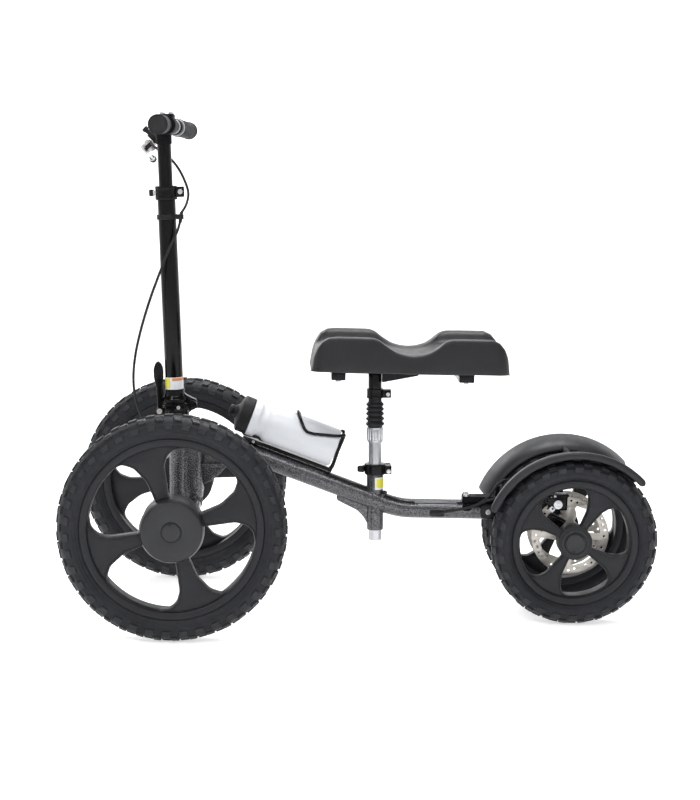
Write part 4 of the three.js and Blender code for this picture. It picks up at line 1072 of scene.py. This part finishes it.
def add_pad():
    """Four lobes with a channel between the sides and a dip across the middle, on one flat base."""
    (front, base), (rear, _) = PAD_RIDGE[0], PAD_RIDGE[-1]
    half_width, corner = 87, 24
    stations = [front + (rear - front) * (0.5 - 0.5 * cos(pi * i / 96)) for i in range(97)]
    rings = []
    for x in stations:
        top = max(pad_height(x), base + 1.5)
        end = min(x - front, rear - x)
        half = half_width - corner + (corner ** 2 - max(0.0, corner - end) ** 2) ** 0.5
        rise = top - base
        dip = min(3.0 + 18.0 * max(0.0, min(1.0, (rise - 36) / 28)), 0.4 * rise)
        crease = min(3.4, 0.1 * rise)
        side = [(0.0, base), (half * 0.5, base), (half - 5, base), (half - 1.2, base + 0.02 * rise),
                (half, base + 0.07 * rise), (half + 0.2, base + 0.3 * rise), (half - 0.8, base + 0.58 * rise),
                (half - 2, top - crease - 6), (half - 3, top - crease), (half - 4.4, top - 0.4 * crease),
                (half - 7, top - 0.06 * crease), (half - 14, top), (half - 22, top - 0.03 * dip),
                (half - 28, top - 0.16 * dip), (half - 33, top - 0.5 * dip), (half - 38, top - 0.84 * dip),
                (half - 46, top - 0.98 * dip), (half * 0.06, top - dip), (0.0, top - dip)]
        side = [(max(0.0, y), z) for y, z in side]
        rings.append([(x, y, z) for y, z in side] + [(x, -y, z) for y, z in side[-2:0:-1]])
    shape = Shape().loft(rings, around=False)
    pad = piece("knee_pad_cushion", shape, "sprung_seat", "pad_foam", replaces=["knee_pad"], sharp=60)
    smooth = pad.modifiers.new("smooth", "SUBSURF")
    smooth.levels = smooth.render_levels = 1


# ---- Bottle ----

def add_bottle():
    bottle = Shape().lathe([(0, 3), (26, 3), (30, 0.4), (34.4, 1.2), (36.4, 5), (36.4, 120), (36.2, 129),
                            (34.4, 135.5), (30.4, 140.6), (29.2, 144), (29.2, 150), (30.6, 153),
                            (34.4, 155.6), (34.5, 169.6), (0, 169.6)], sides=96, edge=1.6)
    piece("bottle_body", bottle, "water_bottle", "white_plastic", BOTTLE, ["bottle"])
    cap = Shape().lathe([(0, 170), (33.8, 170), (34.4, 172), (34.4, 188), (33, 190.6), (30, 192.2),
                         (18, 195.6), (13, 198), (12, 201.5), (8.6, 202.4), (8.6, 204), (10, 204.6),
                         (10, 209.4), (8.4, 211), (7, 212), (0, 212)], sides=96, edge=0.9)
    piece("bottle_cap_top", cap, "water_bottle", "black_plastic", BOTTLE, ["bottle_cap"])
    half = [(-41, 7.6, -2), (-38, 8, -5.4), (0, 9, -5.4), (24, 14, -5.4), (32.5, 21.5, -4.2), (29.4, 27, 2),
            (21.8, 33.4, 30), (16, 36.6, 56), (17, 36.4, 67), (27.9, 29, 79), (37.4, 14.5, 87.5)]
    route = [(x, -y, z) for x, y, z in half] + [(40.4, 0, 91)] + half[::-1]
    wire = Shape().bent(route, 2.9, sides=14)
    wire.block((-44.9, -9, -8), (-38, 9, 170), corner=3, edge=1.2)
    wire.block((-44.9, -13, 140), (-37.2, 13, 158), corner=3, edge=1.5)
    piece("bottle_cage_wire", wire, "frame", "black_paint", BOTTLE, ["bottle_cage"])
    screw = Shape().bolt((-41, -12.6, 149), (-41, -14.6, 149), 2.6)
    piece("bottle_cage_screw", screw, "frame", "black_paint", BOTTLE, surface="aluminium")


# ---- Studio ----

def card(name, corners, glow):
    """A flat pale card of the studio, with a little light of its own."""
    mesh = bpy.data.meshes.new(name)
    mesh.from_pydata(corners, [], [(0, 1, 2, 3)])
    made = bpy.data.objects.new(name, mesh)
    bpy.context.scene.collection.objects.link(made)
    pale = surface("pale " + name, (0.84, 0.84, 0.84), (0.82, 0.82, 0.825), (0.7, 0.8), grain=300,
                   depth=0.00001)
    shader = pale.node_tree.nodes["Principled BSDF"]
    shader.inputs["Emission Color"].default_value = (1, 1, 1, 1)
    shader.inputs["Emission Strength"].default_value = glow
    mesh.materials.append(pale)


def upright(start, end):
    """The corners of a card that stands on the line between two points of the floor."""
    foot, top = -0.2, 12
    return [(*start, foot), (*end, foot), (*end, top), (*start, top)]


def add_studio():
    card("floor", [(-30, -12, 0), (30, -12, 0), (30, 9, 0), (-30, 9, 0)], 0.54)
    card("backdrop", upright((-30, 8.9), (30, 8.9)), 0.92)
    for name, x in (("wall_a", -29.9), ("wall_b", 29.9)):
        card(name, upright((x, -12), (x, 9)), 0.3)
    card("wall_c", upright((-30, -11.9), (30, -11.9)), 0.08)
    world = bpy.data.worlds.new("studio")
    world.use_nodes = True
    background = world.node_tree.nodes["Background"]
    background.inputs["Color"].default_value = (1, 1, 1, 1)
    background.inputs["Strength"].default_value = 0.13
    bpy.context.scene.world = world
    for name, spot, target, width, height, power in (
            ("key", (-2.2, -2.4, 3.2), (0, 0, 0.4), 1.3, 1.3, 50),
            ("strip", (0.5, -2.5, 2.7), (0.1, 0, 0.4), 3.2, 0.5, 36),
            ("top", (0.2, 0.6, 3.2), (0, 0, 0.4), 1.8, 1.8, 100),
            ("back", (-1.6, 3.0, 2.2), (0, 0, 0.5), 1.4, 1.4, 32)):
        light = bpy.data.lights.new(name, "AREA")
        light.shape = "ELLIPSE"
        light.size = width
        light.size_y = height
        light.energy = power
        lamp = bpy.data.objects.new(name, light)
        lamp.location = spot
        lamp.rotation_euler = (Vector(target) - Vector(spot)).to_track_quat("-Z", "Y").to_euler()
        bpy.context.scene.collection.objects.link(lamp)
    bpy.context.scene.view_settings.view_transform = "Standard"


add_camera()
add_cables()
add_wheels()
add_beam()
add_front_axle()
add_seat_tube()
add_rear_frame()
for label, side in SIDES:
    fender(label, side)
    caliper(label, side)
    add_linkage(label, side)
add_column()
add_tiller()
add_handlebar()
add_seat()
add_bottle()
add_studio()
